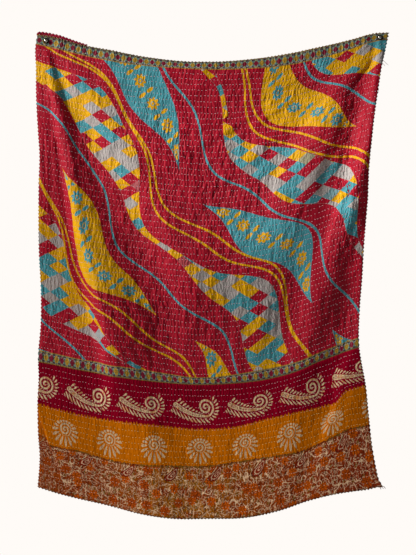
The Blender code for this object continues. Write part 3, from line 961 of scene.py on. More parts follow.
@dataclass(frozen=True)
class PaisleyRow:
    """Row of curled paisleys with feathered edges. Sizes in millimetres, places from a motif's middle."""

    pitch: float = 206.5
    offset: float = 113.0
    middle_v: float = 1238.0
    scale: float = 1.09
    curl_x: float = 34.0
    curl_y: float = -12.5
    curl_radius: float = 28.8
    curl_step: float = 13.2
    stroke: float = 6.0
    sweep_x: float = 34.0
    sweep_y: float = -160.7
    sweep_radius: float = 177.0
    tail: float = math.radians(-35.6)
    root: float = 0.0

    def lay(self, ground: Ground) -> None:
        """Print the row.

        Args:
            ground: What it is printed on.
        """
        cloth, paint = ground.cloth, ground.paint
        x = (ground.across + self.offset).centred(self.pitch) / self.scale
        y = (ground.down - self.middle_v) / self.scale
        curl = self.curl(x - self.curl_x, y - self.curl_y)
        body, marks = self.body(cloth, x - self.sweep_x, y - self.sweep_y)
        cream = curl.either(body)
        wear_and_painted_shade = cloth.noise(3.5, detail=2.0, seed=95.0).over(0.36, 0.1) * 0.6 + 0.4
        paint.lay(cream * wear_and_painted_shade, Dye.CREAM)
        paint.lay(marks, Dye.DEEP_CRIMSON)
        stain = cloth.noise(24.0, detail=2.0, seed=12.0).over(0.58, 0.1)
        paint.lay(stain.both(cream) * 0.6, Dye.MARIGOLD)

    def curl(self, x: Reading, y: Reading) -> Reading:
        """The spiral and the short drops that fan around its outer side.

        Args:
            x: Distance across from the spiral's middle.
            y: Distance below it.

        Returns:
            Their print mask.
        """
        far = x.length_with(y)
        angle = y.turn_from(x)
        turn = (-angle + math.pi / 2) / math.tau
        turn = turn - turn.whole()
        coil = (-far + self.curl_radius) / self.curl_step - turn
        stroke = abs(coil - (coil + 0.5).whole()) * self.curl_step
        spiral = stroke.under(self.stroke / 2, 1.4).both(coil.over(-0.35, 0.05)).both(far.over(1.5, 1.0))
        out = far - (self.curl_radius + 4.0)
        fan = petal((angle + out * 0.009).centred(math.radians(15.5)) * far, out, 3.7, 14.5)
        return spiral.either(fan.both(abs(angle - 0.135).under(1.075, 0.05)))

    def body(self, cloth: ClothCoordinates, x: Reading, y: Reading) -> tuple[Reading, Reading]:
        """The tapered body with the drops above and below it, and the marks inside it.

        Args:
            cloth: The cloth.
            x: Distance across from the middle of the body's sweep.
            y: Distance below it.

        Returns:
            The print masks of the body and of the marks.
        """
        radius = x.length_with(y)
        turn = x.turn_from(y)
        share = ((turn - self.tail) / (self.root - self.tail)).held(0.0, 1.0)
        fullness = (-share + 1.0).joined("POWER", 0.8)
        half = fullness * 5.6 + 3.0
        past = (turn - turn.held(self.tail, self.root)) * self.sweep_radius
        aside = -radius + self.sweep_radius
        gap = aside.length_with(past)
        stem = gap.under(half, 1.4)
        hollow = gap.under(half - 2.6, 0.8).both(half.over(3.4, 0.5))
        marks = hollow.both(cloth.noise(4.0, detail=1.0, seed=4.0).over(0.5, 0.06)) * 0.8
        arc = turn * self.sweep_radius
        upper_y = aside - half - 2.0
        upper_x = arc - upper_y * (share * 1.1 + 0.3)
        upper = petal(upper_x.centred(11.8), upper_y, 4.0, fullness * 18.0 + 1.0)
        begun = turn.over(self.tail - 0.02, 0.01)
        upper = upper.both(begun).both(share.under(0.9, 0.02))
        lower_y = -aside - half - 2.5
        lower_x = arc - lower_y * (-share * 0.5 + 1.4)
        lower = petal(lower_x.centred(14.0), lower_y, 4.9, share * -3.0 + 19.0)
        lower = lower.both(begun).both(turn.under(0.06, 0.01))
        return stem.either(upper).either(lower), marks.both(stem)


@dataclass(frozen=True)
class ShellRow:
    """Row of shells: a small coil with petals all round, the longest below. Sizes in millimetres."""

    pitch: float = 169.5
    offset: float = -22.0
    middle_v: float = 1365.0
    scale: float = 1.22
    coil_step: float = 9.2
    petal_cell: float = math.radians(360.0 / 17)

    def lay(self, ground: Ground) -> None:
        """Print the row.

        Args:
            ground: What it is printed on.
        """
        x = (ground.across + self.offset).centred(self.pitch) / self.scale
        y = (ground.down - self.middle_v) / self.scale
        far = x.length_with(y)
        angle = y.turn_from(x)
        coil = far / self.coil_step - angle / math.tau
        stroke = abs(coil - (coil + 0.5).whole()) * self.coil_step
        centre = stroke.under(2.3, 1.2).both(far.under(19.0, 1.0)).both(far.over(2.0, 1.0))
        low = angle.joined("SINE").held(-1.0, 1.0)
        aside = (angle + 0.1).centred(self.petal_cell) * far
        fan = petal(aside, far - 20.5, 4.5, low * 12.0 + 18.0)
        notch = petal(aside, far - 27.0, 1.1, low * 7.0 + 8.0)
        wear_and_painted_shade = ground.cloth.noise(3.5, detail=2.0, seed=96.0).over(0.4, 0.1) * 0.7 + 0.3
        ground.paint.lay(centre.either(fan) * wear_and_painted_shade, Dye.ROSE_CREAM)
        ground.paint.lay(notch * 0.55, Dye.MARIGOLD)


@dataclass(frozen=True)
class Jaal:
    """Dense net of vines, flowers and leaves over rust, with paisley buds along its upper edge."""

    upper_v: float = 1433.0
    bud_pitch: float = 163.0

    # The vines, net by net: mesh size, seed, half the line's width in the noise, and strength.
    VINES = ((12.0, 27.0, 0.027, 0.55), (30.0, 7.0, 0.017, 1.0), (20.0, 18.0, 0.016, 0.95))
    # The buds' nested outlines: reach and dye.
    BUD_RINGS = (
        (1.12, Dye.RUST_BROWN), (1.0, Dye.OXBLOOD), (0.76, Dye.BLUSH), (0.66, Dye.OXBLOOD),
        (0.34, Dye.BLUSH), (0.24, Dye.OXBLOOD),
    )

    def lay(self, ground: Ground, on: Reading) -> None:
        """Print the net.

        Args:
            ground: What it is printed on.
            on: 1 where the rust band is.
        """
        cloth, paint = ground.cloth, ground.paint
        paint.lay(on, Dye.RUST)
        middle = (-abs(cloth.across - 560.0) / 330.0 + 1.0).held(0.0, 1.0)
        patches = cloth.noise(60.0, detail=2.0, seed=33.0).over(0.44, 0.12)
        paint.lay(on.both(patches) * middle, Dye.OCHRE)
        # Darker red over the right part of the band, deepening towards the right.
        paint.lay(on * ((cloth.across - 900.0) / 500.0).held(0.0, 0.6), Dye.OXBLOOD)
        leaf_x, leaf_y, chance = cloth.cells(ground.across, ground.down, 19.0, 1.0)
        leaf = on.both(ellipse(leaf_x + leaf_y * 0.5, leaf_y - leaf_x * 0.5, 4.6, 8.5).under(1.0, 0.25))
        paint.lay(leaf.both(chance.over(0.55, 0.05)) * 0.7, Dye.RUST_BROWN)
        paint.lay(leaf.both(chance.under(0.25, 0.05)) * 0.8, Dye.OLIVE)
        for size, seed, width, share in self.VINES:
            vine = abs(cloth.noise(size, detail=0.5, seed=seed) - 0.5).under(width, width * 0.8)
            broken = cloth.noise(20.0, seed=seed + 3.0).over(0.46, 0.05)
            paint.lay(on.both(vine).both(broken) * share, Dye.BLUSH)
        self.lay_flowers(ground, on)
        self.lay_buds(ground, on)
        blot = cloth.noise(8.0, detail=2.0, stretch=0.6, seed=44.0)
        band = on.both((blot * 34.0 + ground.down - self.upper_v).under(22.0, 2.5))
        paint.lay(band * 0.85, Dye.RUST_BROWN)
        paint.lay(band.both(cloth.noise(22.0, stretch=0.4, seed=45.0).over(0.5, 0.04)), Dye.OLIVE)

    def lay_flowers(self, ground: Ground, on: Reading) -> None:
        """Print the round flowers, each with ragged petals, dark veins and a speckled eye.

        Args:
            ground: What they are printed on.
            on: 1 where the rust band is.
        """
        cloth, paint = ground.cloth, ground.paint
        x, y, chance = cloth.cells(ground.across, ground.down, 62.0, 0.8)
        far = x.length_with(y)
        turn = y.turn_from(x)
        edge = (turn * 8.0).joined("COSINE") * 1.8 + chance * 5.0 + 13.5
        ragged = (cloth.noise(5.0, detail=1.0, seed=91.0) - 0.5) * 5.0
        flower = on.both((far + ragged).under(edge, 1.5))
        paint.lay(flower, Dye.FLAME)
        paint.lay(flower.both(chance.over(0.6, 0.02)) * 0.35, Dye.OXBLOOD)
        vein = (turn * 8.0 + 3.1).joined("COSINE").over(0.4, 0.4)
        vein = vein.both(abs(far / edge - 0.74).under(0.22, 0.1))
        paint.lay(on.both(vein) * 0.65, Dye.RUST_BROWN)
        speck = cloth.noise(4.0, seed=90.0).over(0.52, 0.05).both(far.under(edge * 0.45, 1.0))
        paint.lay(on.both(speck) * 0.9, Dye.RUST_BROWN)

    def lay_buds(self, ground: Ground, on: Reading) -> None:
        """Print the paisley buds, each as nested outlines that lean to the right, with a stem above.

        Args:
            ground: What they are printed on.
            on: 1 where the rust band is.
        """
        x = (ground.across + 60.0).centred(self.bud_pitch)
        y = ground.down - (self.upper_v + 33.0)
        tip = x * 0.7 - y * 0.71
        flank = x * 0.71 + y * 0.7 + tip * tip * 0.006
        taper = (tip / -70.0 + 1.0).held(0.15, 2.0)
        far = (tip / 34.0).length_with(flank / (taper * 12.0))
        for edge, dye in self.BUD_RINGS:
            ground.paint.lay(on.both(far.under(edge, 0.08)), dye)
        stem = abs(flank + 15.0).under(1.1, 1.0).both(abs(tip - 12.0).under(24.0, 2.0))
        ground.paint.lay(on.both(stem), Dye.CREAM)


# Finishes -----------------------------


def new_material(name: str) -> tuple[Material, NodeTree, Node]:
    """A new material.

    Args:
        name: Its name.

    Returns:
        The material, its node tree and its Principled shader.
    """
    material = bpy.data.materials.new(name)
    material.use_nodes = True
    return material, material.node_tree, material.node_tree.nodes["Principled BSDF"]


@dataclass(frozen=True)
class CottonFinish:
    """Worn, washed cotton voile in several layers: matt, with a faint bloom of loose fibres.

    The fine relief is in millimetres: crinkles that stand between the stitches, creases, the pull of each
    stitched row and a slubby weave. The threads of such cloth are about 0.3 mm apart, too fine to show, so
    the weave is drawn at 1.7 mm.
    """

    roughness: float = 0.52
    sheen: float = 0.02
    sheen_roughness: float = 0.5
    specular: float = 0.15
    thread_spacing: float = 1.7
    yarn_streak: float = 4.5
    weft_stretch: float = 6.0
    warp_stretch: float = 7.0
    row_pitch: float = 20.1
    pull_reach: float = 4.2
    crinkle: float = 1.0
    crease: float = 2.3
    row_pull: float = 0.5
    slub: float = 0.9
    weave: float = 0.03
    fade: float = 0.1
    # How much the painted shade along the free edges darkens the colour.
    rim_shade: float = 0.4

    def dress(self, shader: Node, cloth: ClothCoordinates, paint: Paint) -> None:
        """Finish the painted colour with fading, painted light on the relief's crests and painted shade in
        its dips, painted shade along the free edges, and the cloth's relief.

        Args:
            shader: The material's shader.
            cloth: The cloth.
            paint: Its painted colour.
        """
        blotch = cloth.noise(140.0, detail=3.0, seed=50.0)
        warp = cloth.noise(self.yarn_streak, stretch=self.warp_stretch, seed=60.0)
        weft = cloth.noise(self.yarn_streak * self.weft_stretch, stretch=1 / self.weft_stretch, seed=61.0)
        # Painted light and shade: the colour is lighter on the relief's crests and darker in its dips, read
        # from the stored pucker height.
        wear_and_painted_shade = (cloth.mark("pucker") - 0.5) * 0.3
        tone = (blotch - 0.5) * (2.2 * self.fade) + (warp + weft - 1.0) * 0.22 + wear_and_painted_shade + 1.0
        # Painted shade: the colour is darkened along the free edges, where the rim mark rises to 1.
        paint.scaled((tone.held(0.55, 1.35)) * (cloth.mark("rim") * -self.rim_shade + 1.0))
        relief = {"Height": self.relief(cloth), "Distance": MM, "Strength": 1.0}
        wire(cloth.tree, shader, {
            "Base Color": paint.color, "Normal": add_node(cloth.tree, "ShaderNodeBump", relief),
            "Roughness": self.roughness, "Sheen Weight": self.sheen, "Sheen Roughness": self.sheen_roughness,
            "Specular IOR Level": self.specular,
        })

    def relief(self, cloth: ClothCoordinates) -> Reading:
        """The fine relief.

        Args:
            cloth: The cloth.

        Returns:
            Its height in millimetres.
        """
        quilting = add_node(cloth.tree, "ShaderNodeAttribute", attribute_name="quilting").outputs["Vector"]
        parts = add_node(cloth.tree, "ShaderNodeSeparateXYZ", {0: quilting}).outputs
        phase, row, slack = (Reading(cloth.tree, part) for part in parts)
        near_row = (-abs(row - (row + 0.5).whole()) * (self.row_pitch / self.pull_reach) + 1.0).held(0.0, 1.0)
        wobble = (cloth.noise(11.0, stretch=2.0, seed=71.0) - 0.5) * 1.6
        patch = ((cloth.noise(24.0, stretch=1.8, seed=72.0) - 0.42) * 5.0).held(0.05, 1.0)
        ridge = (phase + wobble).wave(1.0, math.pi / 2) * 0.5 + 0.5
        crinkle = ridge * ridge * patch * self.crinkle
        crease = abs(cloth.noise(9.0, detail=1.0, stretch=3.0, seed=73.0) - 0.5) * (-2.0 * self.crease)
        pull = near_row * near_row * -self.row_pull
        slub = cloth.noise(9.0, stretch=0.3, seed=74.0) + cloth.noise(3.0, stretch=3.0, seed=75.0)
        weave = cloth.across.wave(self.thread_spacing) + cloth.down.wave(self.thread_spacing)
        return (crinkle + crease) * slack + pull + slub * self.slub + weave * self.weave


@dataclass(frozen=True)
class MainCloth:
    """Printed sari cotton of the main panel: crimson ground, waves, and a woven border at head and foot."""

    cotton: CottonFinish = CottonFinish()
    borders: tuple[BorderPrint, ...] = (
        BorderPrint(height=25.0, squash=1.4), BorderPrint(height=28.0, upper_v=1118.0),
    )

    def make(self) -> Material:
        """Print, weave and finish the cloth.

        Returns:
            The material.
        """
        material, tree, shader = new_material("printed sari cotton")
        cloth = ClothCoordinates(tree)
        paint = Paint(tree, Dye.CRIMSON)
        WaveField().lay(Ground(cloth, paint, *cloth.unsettled(1.3, 9.0, 2.0)))
        for border in self.borders:
            border.lay(Ground(cloth, paint, cloth.across, cloth.down))
        self.cotton.dress(shader, cloth, paint)
        return material


@dataclass(frozen=True)
class StripCloth:
    """Block-printed cotton of the foot strip: crimson, marigold and rust bands, shifted at a tuck."""

    cotton: CottonFinish = CottonFinish(specular=0.02, sheen=0.0)
    marigold_v: float = 1305.0
    rust_v: float = 1433.0
    tuck_v: float = 1318.0
    tuck_lean: float = 0.36
    tuck_shift: float = 24.0
    comb_pitch: float = 12.4

    def make(self) -> Material:
        """Print and finish the cloth.

        Returns:
            The material.
        """
        material, tree, shader = new_material("block-printed cotton")
        cloth = ClothCoordinates(tree)
        paint = Paint(tree, Dye.DEEP_CRIMSON)
        across, down = cloth.unsettled(1.1, 8.0, 5.0)
        aside = across - (down - self.tuck_v) * self.tuck_lean
        tuck = aside.under(0.0, 1.5).both(down.over(self.tuck_v + 6.0, 6.0))
        down = down + tuck * self.tuck_shift
        ground = Ground(cloth, paint, across, down)
        PaisleyRow().lay(ground)
        comb = abs((across + across.wave(97.0) * 5.0).centred(self.comb_pitch)) * 1.1
        drip = cloth.noise(7.0, detail=1.0, stretch=2.5, seed=41.0) * 18.0
        edge = down - self.marigold_v - comb - drip + 17.0
        paint.lay(edge.over(0.0, 1.4), Dye.MARIGOLD)
        ShellRow().lay(ground)
        ragged = (cloth.noise(8.0, detail=2.0, stretch=0.7, seed=46.0) - 0.5) * 16.0
        Jaal().lay(ground, (down + ragged).over(self.rust_v, 1.5))
        paint.lay(tuck * 0.45, Dye.RUST)
        self.cotton.dress(shader, cloth, paint)
        return material


@dataclass(frozen=True)
class PlainCloth:
    """Plain dyed cotton of the reverse: crimson, faded unevenly."""

    cotton: CottonFinish = CottonFinish(fade=0.22)
    dye: str = "#9C1230"

    def make(self) -> Material:
        """Dye and finish the cloth.

        Returns:
            The material.
        """
        material, tree, shader = new_material("plain dyed cotton")
        self.cotton.dress(shader, ClothCoordinates(tree), Paint(tree, self.dye))
        return material


@dataclass(frozen=True)
class ThreadFinish:
    """Soft twisted cotton thread: matt, slightly uneven in tone, and tinged by the dye of the cloth below it.

    Such a thread is twisted every half millimetre or so. The twist is drawn at about one millimetre.
    """

    name: str = "quilting thread"
    light: str = "#FFE8EA"
    dark: str = "#EDC2C4"
    roughness: float = 0.8
    sheen: float = 0.8
    twist: float = 1 / 900
    twist_depth: float = 0.0004

    def make(self) -> Material:
        """Dye and finish the thread.

        Returns:
            The material.
        """
        material, tree, shader = new_material(self.name)
        tone = add_node(tree, "ShaderNodeAttribute", attribute_name="tone").outputs["Fac"]
        paint = Paint(tree, self.light)
        paint.lay(Reading(tree, tone), self.dark)
        stain = add_node(tree, "ShaderNodeAttribute", attribute_name="stain").outputs["Vector"]
        kept = add_node(tree, "ShaderNodeVectorMath", {0: (1.0, 1.0, 1.0), 1: stain}, operation="SUBTRACT")
        paint.multiplied(kept)
        place = add_node(tree, "ShaderNodeTexCoord").outputs["Object"]
        strands = {"Vector": place, "Scale": 1 / self.twist, "Detail": 1.0}
        twist = add_node(tree, "ShaderNodeTexNoise", strands)
        relief = {"Height": twist, "Distance": self.twist_depth, "Strength": 0.7}
        bump = add_node(tree, "ShaderNodeBump", relief)
        wire(tree, shader, {
            "Base Color": paint.color, "Normal": bump, "Roughness": self.roughness,
            "Sheen Weight": self.sheen,
        })
        return material


@dataclass(frozen=True)
class MetalFinish:
    """Turned metal, polished or blackened: it mirrors the room, and smudges dull it in places."""

    name: str
    color: str
    roughness: float
    smudge: float
    smudge_size: float = 1 / 420
    smudge_depth: float = 0.0001

    def make(self) -> Material:
        """Finish the metal.

        Returns:
            The material.
        """
        material, tree, shader = new_material(self.name)
        place = add_node(tree, "ShaderNodeTexCoord").outputs["Object"]
        smudge = {"Vector": place, "Scale": 1 / self.smudge_size, "Detail": 3.0}
        dull = read_node(tree, "ShaderNodeTexNoise", smudge)
        paint = Paint(tree, self.color)
        paint.scaled((dull - 0.5) * 0.5 + 1.0)
        relief = {"Height": dull, "Distance": self.smudge_depth, "Strength": 0.3}
        bump = add_node(tree, "ShaderNodeBump", relief)
        wire(tree, shader, {
            "Base Color": paint.color, "Normal": bump, "Metallic": 1.0,
            "Roughness": (dull * self.smudge + self.roughness).held(0.05, 1.0),
        })
        return material


# The quilted panels -------------------


@dataclass
class PanelSurface:
    """A panel's finished surface on an even grid of its flat cloth, which other pieces are laid on."""

    across: Array
    down: Array
    front: Array
    back: Array
    pucker: Array
    normal: Array
    quilting: Array

    def read(self, table: Array, u: Array, v: Array) -> Array:
        """Values of a table of the surface at places between its grid's points.

        Args:
            table: One of the surface's arrays.
            u: Places across the flat cloth.
            v: Places down it.

        Returns:
            The values, one row for each place.
        """
        column = (u - self.across[0]) / (self.across[1] - self.across[0])
        row = (v - self.down[0]) / (self.down[1] - self.down[0])
        column = np.clip(column, 0.0, len(self.across) - 1.001)
        row = np.clip(row, 0.0, len(self.down) - 1.001)
        i, j = column.astype(int), row.astype(int)
        fx, fy = (column - i)[:, None], (row - j)[:, None]
        upper = table[j, i] * (1 - fx) + table[j, i + 1] * fx
        lower = table[j + 1, i] * (1 - fx) + table[j + 1, i + 1] * fx
        return upper * (1 - fy) + lower * fy


@dataclass
class QuiltPanel:
    """One quilted panel: a closed sheet with ribs and puckers in front, and a plain quilted back."""

    name: str
    node: str
    slot: str
    start_v: float
    end_v: float
    stitched_rows: int
    free_head: bool
    shape: HungShape
    quilting: Quilting
    calm_reach: float = 0.02
    scallop: float = 0.0036
    free_pull: float = 1.3
    seam_pull: float = 0.25
    rim_taper: float = 0.0009
    rim_reach: float = 0.0045
    rim_flattening: float = 0.6
    rim_shade_reach: float = 0.005
    ear_width: float = 0.0085
    ear_height: float = 0.015
    ear_pull: tuple[float, float, float] = (0.011, 0.0, -0.001)
    back_rib: float = 0.0004
    pucker_range: float = 0.0046
    back_step: int = 4
    map_gap: float = 0.02
    map_margin: float = 0.003
    surface: PanelSurface | None = None
    piece: Object | None = None

    ARC_SAMPLES = 1600

    def hang(self, u: Array, v: Array) -> Array:
        """Hang the flat cloth, each level line at its own length and each stitched row astray.

        Args:
            u: Places across the flat cloth, a grid.
            v: Places down it.

        Returns:
            The points of the smooth cloth's back.
        """
        down = v[:, 0]
        calm = np.minimum(down - self.start_v, self.end_v - down) / self.calm_reach
        wander = self.quilting.row_wander(u, v) * np.clip(calm, 0.0, 1.0)[:, None]
        dense = np.linspace(0.0, 1.0, self.ARC_SAMPLES)
        places = np.empty_like(u)
        for row, line_v in enumerate(down):
            line = self.shape.back_point(np.full(len(dense), line_v), dense)
            arc = np.concatenate([[0.0], np.cumsum(np.linalg.norm(np.diff(line, axis=0), axis=1))])
            places[row] = np.interp(u[0] / self.quilting.cut_width, arc / arc[-1], dense)
        return self.shape.back_point((v + wander).ravel(), places.ravel()).reshape(*u.shape, 3)

    def lay_out(self) -> None:
        """Work out the panel's surface, hung and quilted."""
        quilting = self.quilting
        columns = round(quilting.cut_width / quilting.stitch_pitch) * quilting.cells_per_stitch
        rows = self.stitched_rows * quilting.cells_per_row
        across = np.linspace(0.0, quilting.cut_width, columns + 1)
        down = np.linspace(self.start_v, self.end_v, rows + 1)
        u, v = np.meshgrid(across, down)
        base = self.hang(u, v)
        along = unit(np.gradient(base, axis=1))
        falling = unit(np.gradient(base, axis=0))
        normal = unit(np.cross(along, -falling))
        base = self.scalloped(base, along, falling, u)
        if not self.free_head:
            base = base + self.pulled_corner(u, v)

        grip = self.shape.grip(base[..., 0], base[..., 2])
        row_share = np.arange(rows + 1)[:, None] / quilting.cells_per_row
        relief = quilting.height(u, v, row_share) * grip
        bend = quilting.bend(u, v, base[..., 0], base[..., 2], self.shape.pins) * grip
        folded = sum(crease.relief(u, v) for crease in quilting.CREASES) + bend
        rim = self.rim_share(u, v)
        height = relief * (1 - self.rim_flattening * rim) - self.rim_taper * rim
        front = base + normal * (self.shape.thickness + height + folded)[..., None]
        rib = -np.cos(math.tau * row_share) * quilting.rib_height * grip
        depth = np.minimum(rib, self.back_rib) * 0.8 - 0.5 * self.rim_taper * rim - folded
        back = base - normal * depth[..., None]
        # The pucker mark runs from 0 in the relief's dips to 1 on its crests. From it the finish paints shade
        # in the dips and light on the crests.
        pucker = np.clip(0.5 + (relief + 0.5 * bend) / self.pucker_range, 0.0, 1.0)
        phase = quilting.phase(u, v)
        marks = np.stack([phase, row_share + 0 * phase, quilting.slack(u, v) * grip], axis=-1)
        self.surface = PanelSurface(across, down, front, back, pucker, normal, marks)

    def pulled_corner(self, u: Array, v: Array) -> Array:
        """How far the lower right corner is drawn out into a small ear."""
        across, down = (self.quilting.cut_width - u) / self.ear_width, (self.end_v - v) / self.ear_height
        return np.exp(-(across**2 + down**2))[..., None] * np.array(self.ear_pull)

    def from_sides(self, u: Array) -> Array:
        """Distance from the nearer side edge."""
        return np.minimum(u, self.quilting.cut_width - u)

    def rim_share(self, u: Array, v: Array) -> Array:
        """1 at the panel's edge, falling to 0 within the cloth."""
        edge = np.minimum(self.from_sides(u), np.minimum(v - self.start_v, self.end_v - v))
        return np.exp(-((edge / self.rim_reach) ** 2))

    def shaded_rim(self, u: Array, v: Array) -> Array:
        """1 where a free edge gets painted shade, 0 within the cloth and along the seam."""
        free = v - self.start_v if self.free_head else self.end_v - v
        return np.clip(1.0 - np.minimum(self.from_sides(u), free) / self.rim_shade_reach, 0.0, 1.0)

    def scalloped(self, base: Array, along: Array, falling: Array, u: Array) -> Array:
        """Pull the edges in where the overcast stitches bite, and let the seam's two edges wave as one.

        Args:
            base: The hung cloth's points.
            along: The cloth's direction across at each.
            falling: Its direction down.
            u: Distances across the cut cloth.

        Returns:
            The points with waving edges.
        """
        base = base.copy()
        bite = np.where(np.arange(base.shape[0]) % 2 == 1, 0.5, -0.5)[:, None] * self.scallop
        for column, inward in ((0, 1.0), (-1, -1.0)):
            base[:, column] += along[:, column] * inward * bite
        uneven = 0.7 + 0.5 * self.quilting.WANDER.at(u / 0.02, 0.5)
        wave = 0.5 * np.cos(math.tau * u / self.quilting.stitch_pitch) * self.scallop * uneven
        for row, inward in ((0, 1.0), (-1, -1.0)):
            free = self.free_head if row == 0 else not self.free_head
            pull = self.free_pull * inward if free else self.seam_pull
            base[row] += falling[row] * wave[row][:, None] * pull
        return base

    def on_both(self, front: Array, back: Array | None = None) -> Array:
        """A table of the grid for the front's points, then the same or another for the coarser back's."""
        behind = (front if back is None else back)[:, :: self.back_step]
        return np.concatenate([table.reshape(-1, *front.shape[2:]) for table in (front, behind)])

    def faces(self) -> tuple[list[Sequence[int]], list[int]]:
        """Faces of the closed sheet.

        Returns:
            The faces, and the material slot of each: 0 in front, 1 behind and on the rim.
        """
        rows, columns = self.surface.front.shape[:2]
        back_columns = (columns - 1) // self.back_step + 1
        front = np.arange(rows * columns).reshape(rows, columns)
        back = rows * columns + np.arange(rows * back_columns).reshape(rows, back_columns)
        faces: list[Sequence[int]] = []
        faces += quads(front[:-1, :-1], front[1:, :-1], front[1:, 1:], front[:-1, 1:])
        front_count = len(faces)
        faces += quads(back[:-1, :-1], back[:-1, 1:], back[1:, 1:], back[1:, :-1])
        faces += quads(front[:-1, 0], back[:-1, 0], back[1:, 0], front[1:, 0])
        faces += quads(front[1:, -1], back[1:, -1], back[:-1, -1], front[:-1, -1])
        for row, turn in ((0, 1), (-1, -1)):
            for k in range(back_columns - 1):
                left = k * self.back_step
                fan = front[row, left : left + self.back_step + 1].tolist()
                fan += [int(back[row, k + 1]), int(back[row, k])]
                faces.append(fan[::turn])
        return faces, [0] * front_count + [1] * (len(faces) - front_count)

    def make(self, face: Material, reverse: Material) -> Object:
        """Build the panel's mesh with its flat map and what its finish reads.

        Args:
            face: Finish of the face.
            reverse: Finish of the reverse and the rim.

        Returns:
            The panel's object.
        """
        self.lay_out()
        surface = self.surface
        faces, slots = self.faces()
        points = self.on_both(surface.front, surface.back)
        self.piece = new_piece(self.name, points, faces, (face, reverse), slots)
        mesh = self.piece.data
        flat = self.on_both(np.stack(np.meshgrid(surface.across, surface.down), axis=-1))
        add_flat_map(mesh, "cloth", flat)
        tall = self.end_v - self.start_v
        span = max(self.quilting.cut_width, 2 * tall + self.map_gap) * 1.01
        apart = flat.copy()
        apart[:, 1] -= self.start_v
        apart[surface.pucker.size :, 1] += tall + self.map_gap
        add_flat_map(mesh, "OFBake", apart / span + self.map_margin)
        mesh.uv_layers["cloth"].active_render = True
        store(mesh, "pucker", self.on_both(surface.pucker))
        # The rim mark, where the finish paints shade along the free edges.
        store(mesh, "rim", self.shaded_rim(flat[:, 0], flat[:, 1]))
        store(mesh, "quilting", self.on_both(surface.quilting))
        return self.piece


# Threads ------------------------------


class StitchTree:
    """The node tree that lays one stitch on each guide point, along its lie and flat on the cloth."""

    SIZES = ("Stitch Length", "Stitch Width", "Stitch Height", "Unevenness")
    SEGMENTS = 5
    RINGS = 4

    def __init__(self) -> None:
        """Build the tree."""
        tree = bpy.data.node_groups.new("laid stitches", "GeometryNodeTree")
        tree.is_modifier = True
        inputs = [("Geometry", "Geometry"), *((name, "Float") for name in self.SIZES)]
        for name, kind in (*inputs, ("Seed", "Int"), ("Thread", "Material")):
            tree.interface.new_socket(name, in_out="INPUT", socket_type=f"NodeSocket{kind}")
        tree.interface.new_socket("Geometry", in_out="OUTPUT", socket_type="NodeSocketGeometry")
        node = partial(add_node, tree)
        given = node("NodeGroupInput").outputs
        lie, out = (
            node("GeometryNodeInputNamedAttribute", {"Name": name}, data_type="FLOAT_VECTOR")
            for name in ("lie", "out")
        )
        along = node("FunctionNodeAlignRotationToVector", {"Vector": lie}, axis="Z")
        flat = {"Rotation": along, "Vector": out}
        turned = node("FunctionNodeAlignRotationToVector", flat, axis="X", pivot_axis="Z")
        low, high = (
            node("ShaderNodeMath", {0: 1.0, 1: given["Unevenness"]}, operation=way)
            for way in ("SUBTRACT", "ADD")
        )
        uneven = node("FunctionNodeRandomValue", {2: low, 3: high, "Seed": given["Seed"]}).outputs[1]
        length = node("ShaderNodeMath", {0: given["Stitch Length"], 1: uneven}, operation="MULTIPLY")
        size = {0: given["Stitch Height"], 1: given["Stitch Width"], 2: length}
        ball = {"Segments": self.SEGMENTS, "Rings": self.RINGS, "Radius": 0.5}
        soft = node("GeometryNodeSetShadeSmooth", {"Geometry": node("GeometryNodeMeshUVSphere", ball)})
        laid = node("GeometryNodeInstanceOnPoints", {
            "Points": given["Geometry"], "Instance": soft, "Rotation": turned,
            "Scale": node("ShaderNodeCombineXYZ", size),
        })
        shade = node("FunctionNodeRandomValue", {2: 0.0, 3: 1.0, "Seed": given["Seed"]}).outputs[1]
        tone = {"Geometry": laid, "Name": "tone", "Value": shade}
        toned = node("GeometryNodeStoreNamedAttribute", tone, data_type="FLOAT", domain="INSTANCE")
        real = node("GeometryNodeRealizeInstances", {"Geometry": toned})
        finish = {"Geometry": real, "Material": given["Thread"]}
        node("NodeGroupOutput", {0: node("GeometryNodeSetMaterial", finish)})
        self.tree = tree

    def lay(
        self, name: str, points: Array, lie: Array, out: Array, sizes: Sequence[float], seed: int,
        thread: Material, stain: Array | None = None,
    ) -> Object:
        """Lay stitches and turn them into a plain mesh.

        Args:
            name: The piece's name.
            points: Middle of each stitch.
            lie: Direction of each stitch.
            out: Direction away from the cloth at each stitch.
            sizes: Length, width, height and unevenness.
            seed: Seed of the unevenness.
            thread: The thread's finish.
            stain: Share of red, green and blue that the dye below takes from each stitch.

        Returns:
            The stitches as one mesh object.
        """
        guide = new_piece(name, points, [], [])
        stain = np.zeros_like(points) if stain is None else stain
        for key, vectors in (("lie", lie), ("out", out), ("stain", stain)):
            store(guide.data, key, vectors)
        values = dict(zip(self.SIZES, sizes)) | {"Seed": seed, "Thread": thread}
        modifier = guide.modifiers.new("stitches", "NODES")
        modifier.node_group = self.tree
        for socket in self.tree.interface.items_tree:
            if socket.in_out == "INPUT" and socket.name in values:
                modifier[socket.identifier] = values[socket.name]
        evaluated = guide.evaluated_get(bpy.context.evaluated_depsgraph_get())
        mesh = bpy.data.meshes.new_from_object(evaluated)
        guide.modifiers.remove(modifier)
        bare, guide.data = guide.data, mesh
        bpy.data.meshes.remove(bare)
        mesh.name = name
        for key in ("lie", "out"):
            if key in mesh.attributes:
                mesh.attributes.remove(mesh.attributes[key])
        return guide


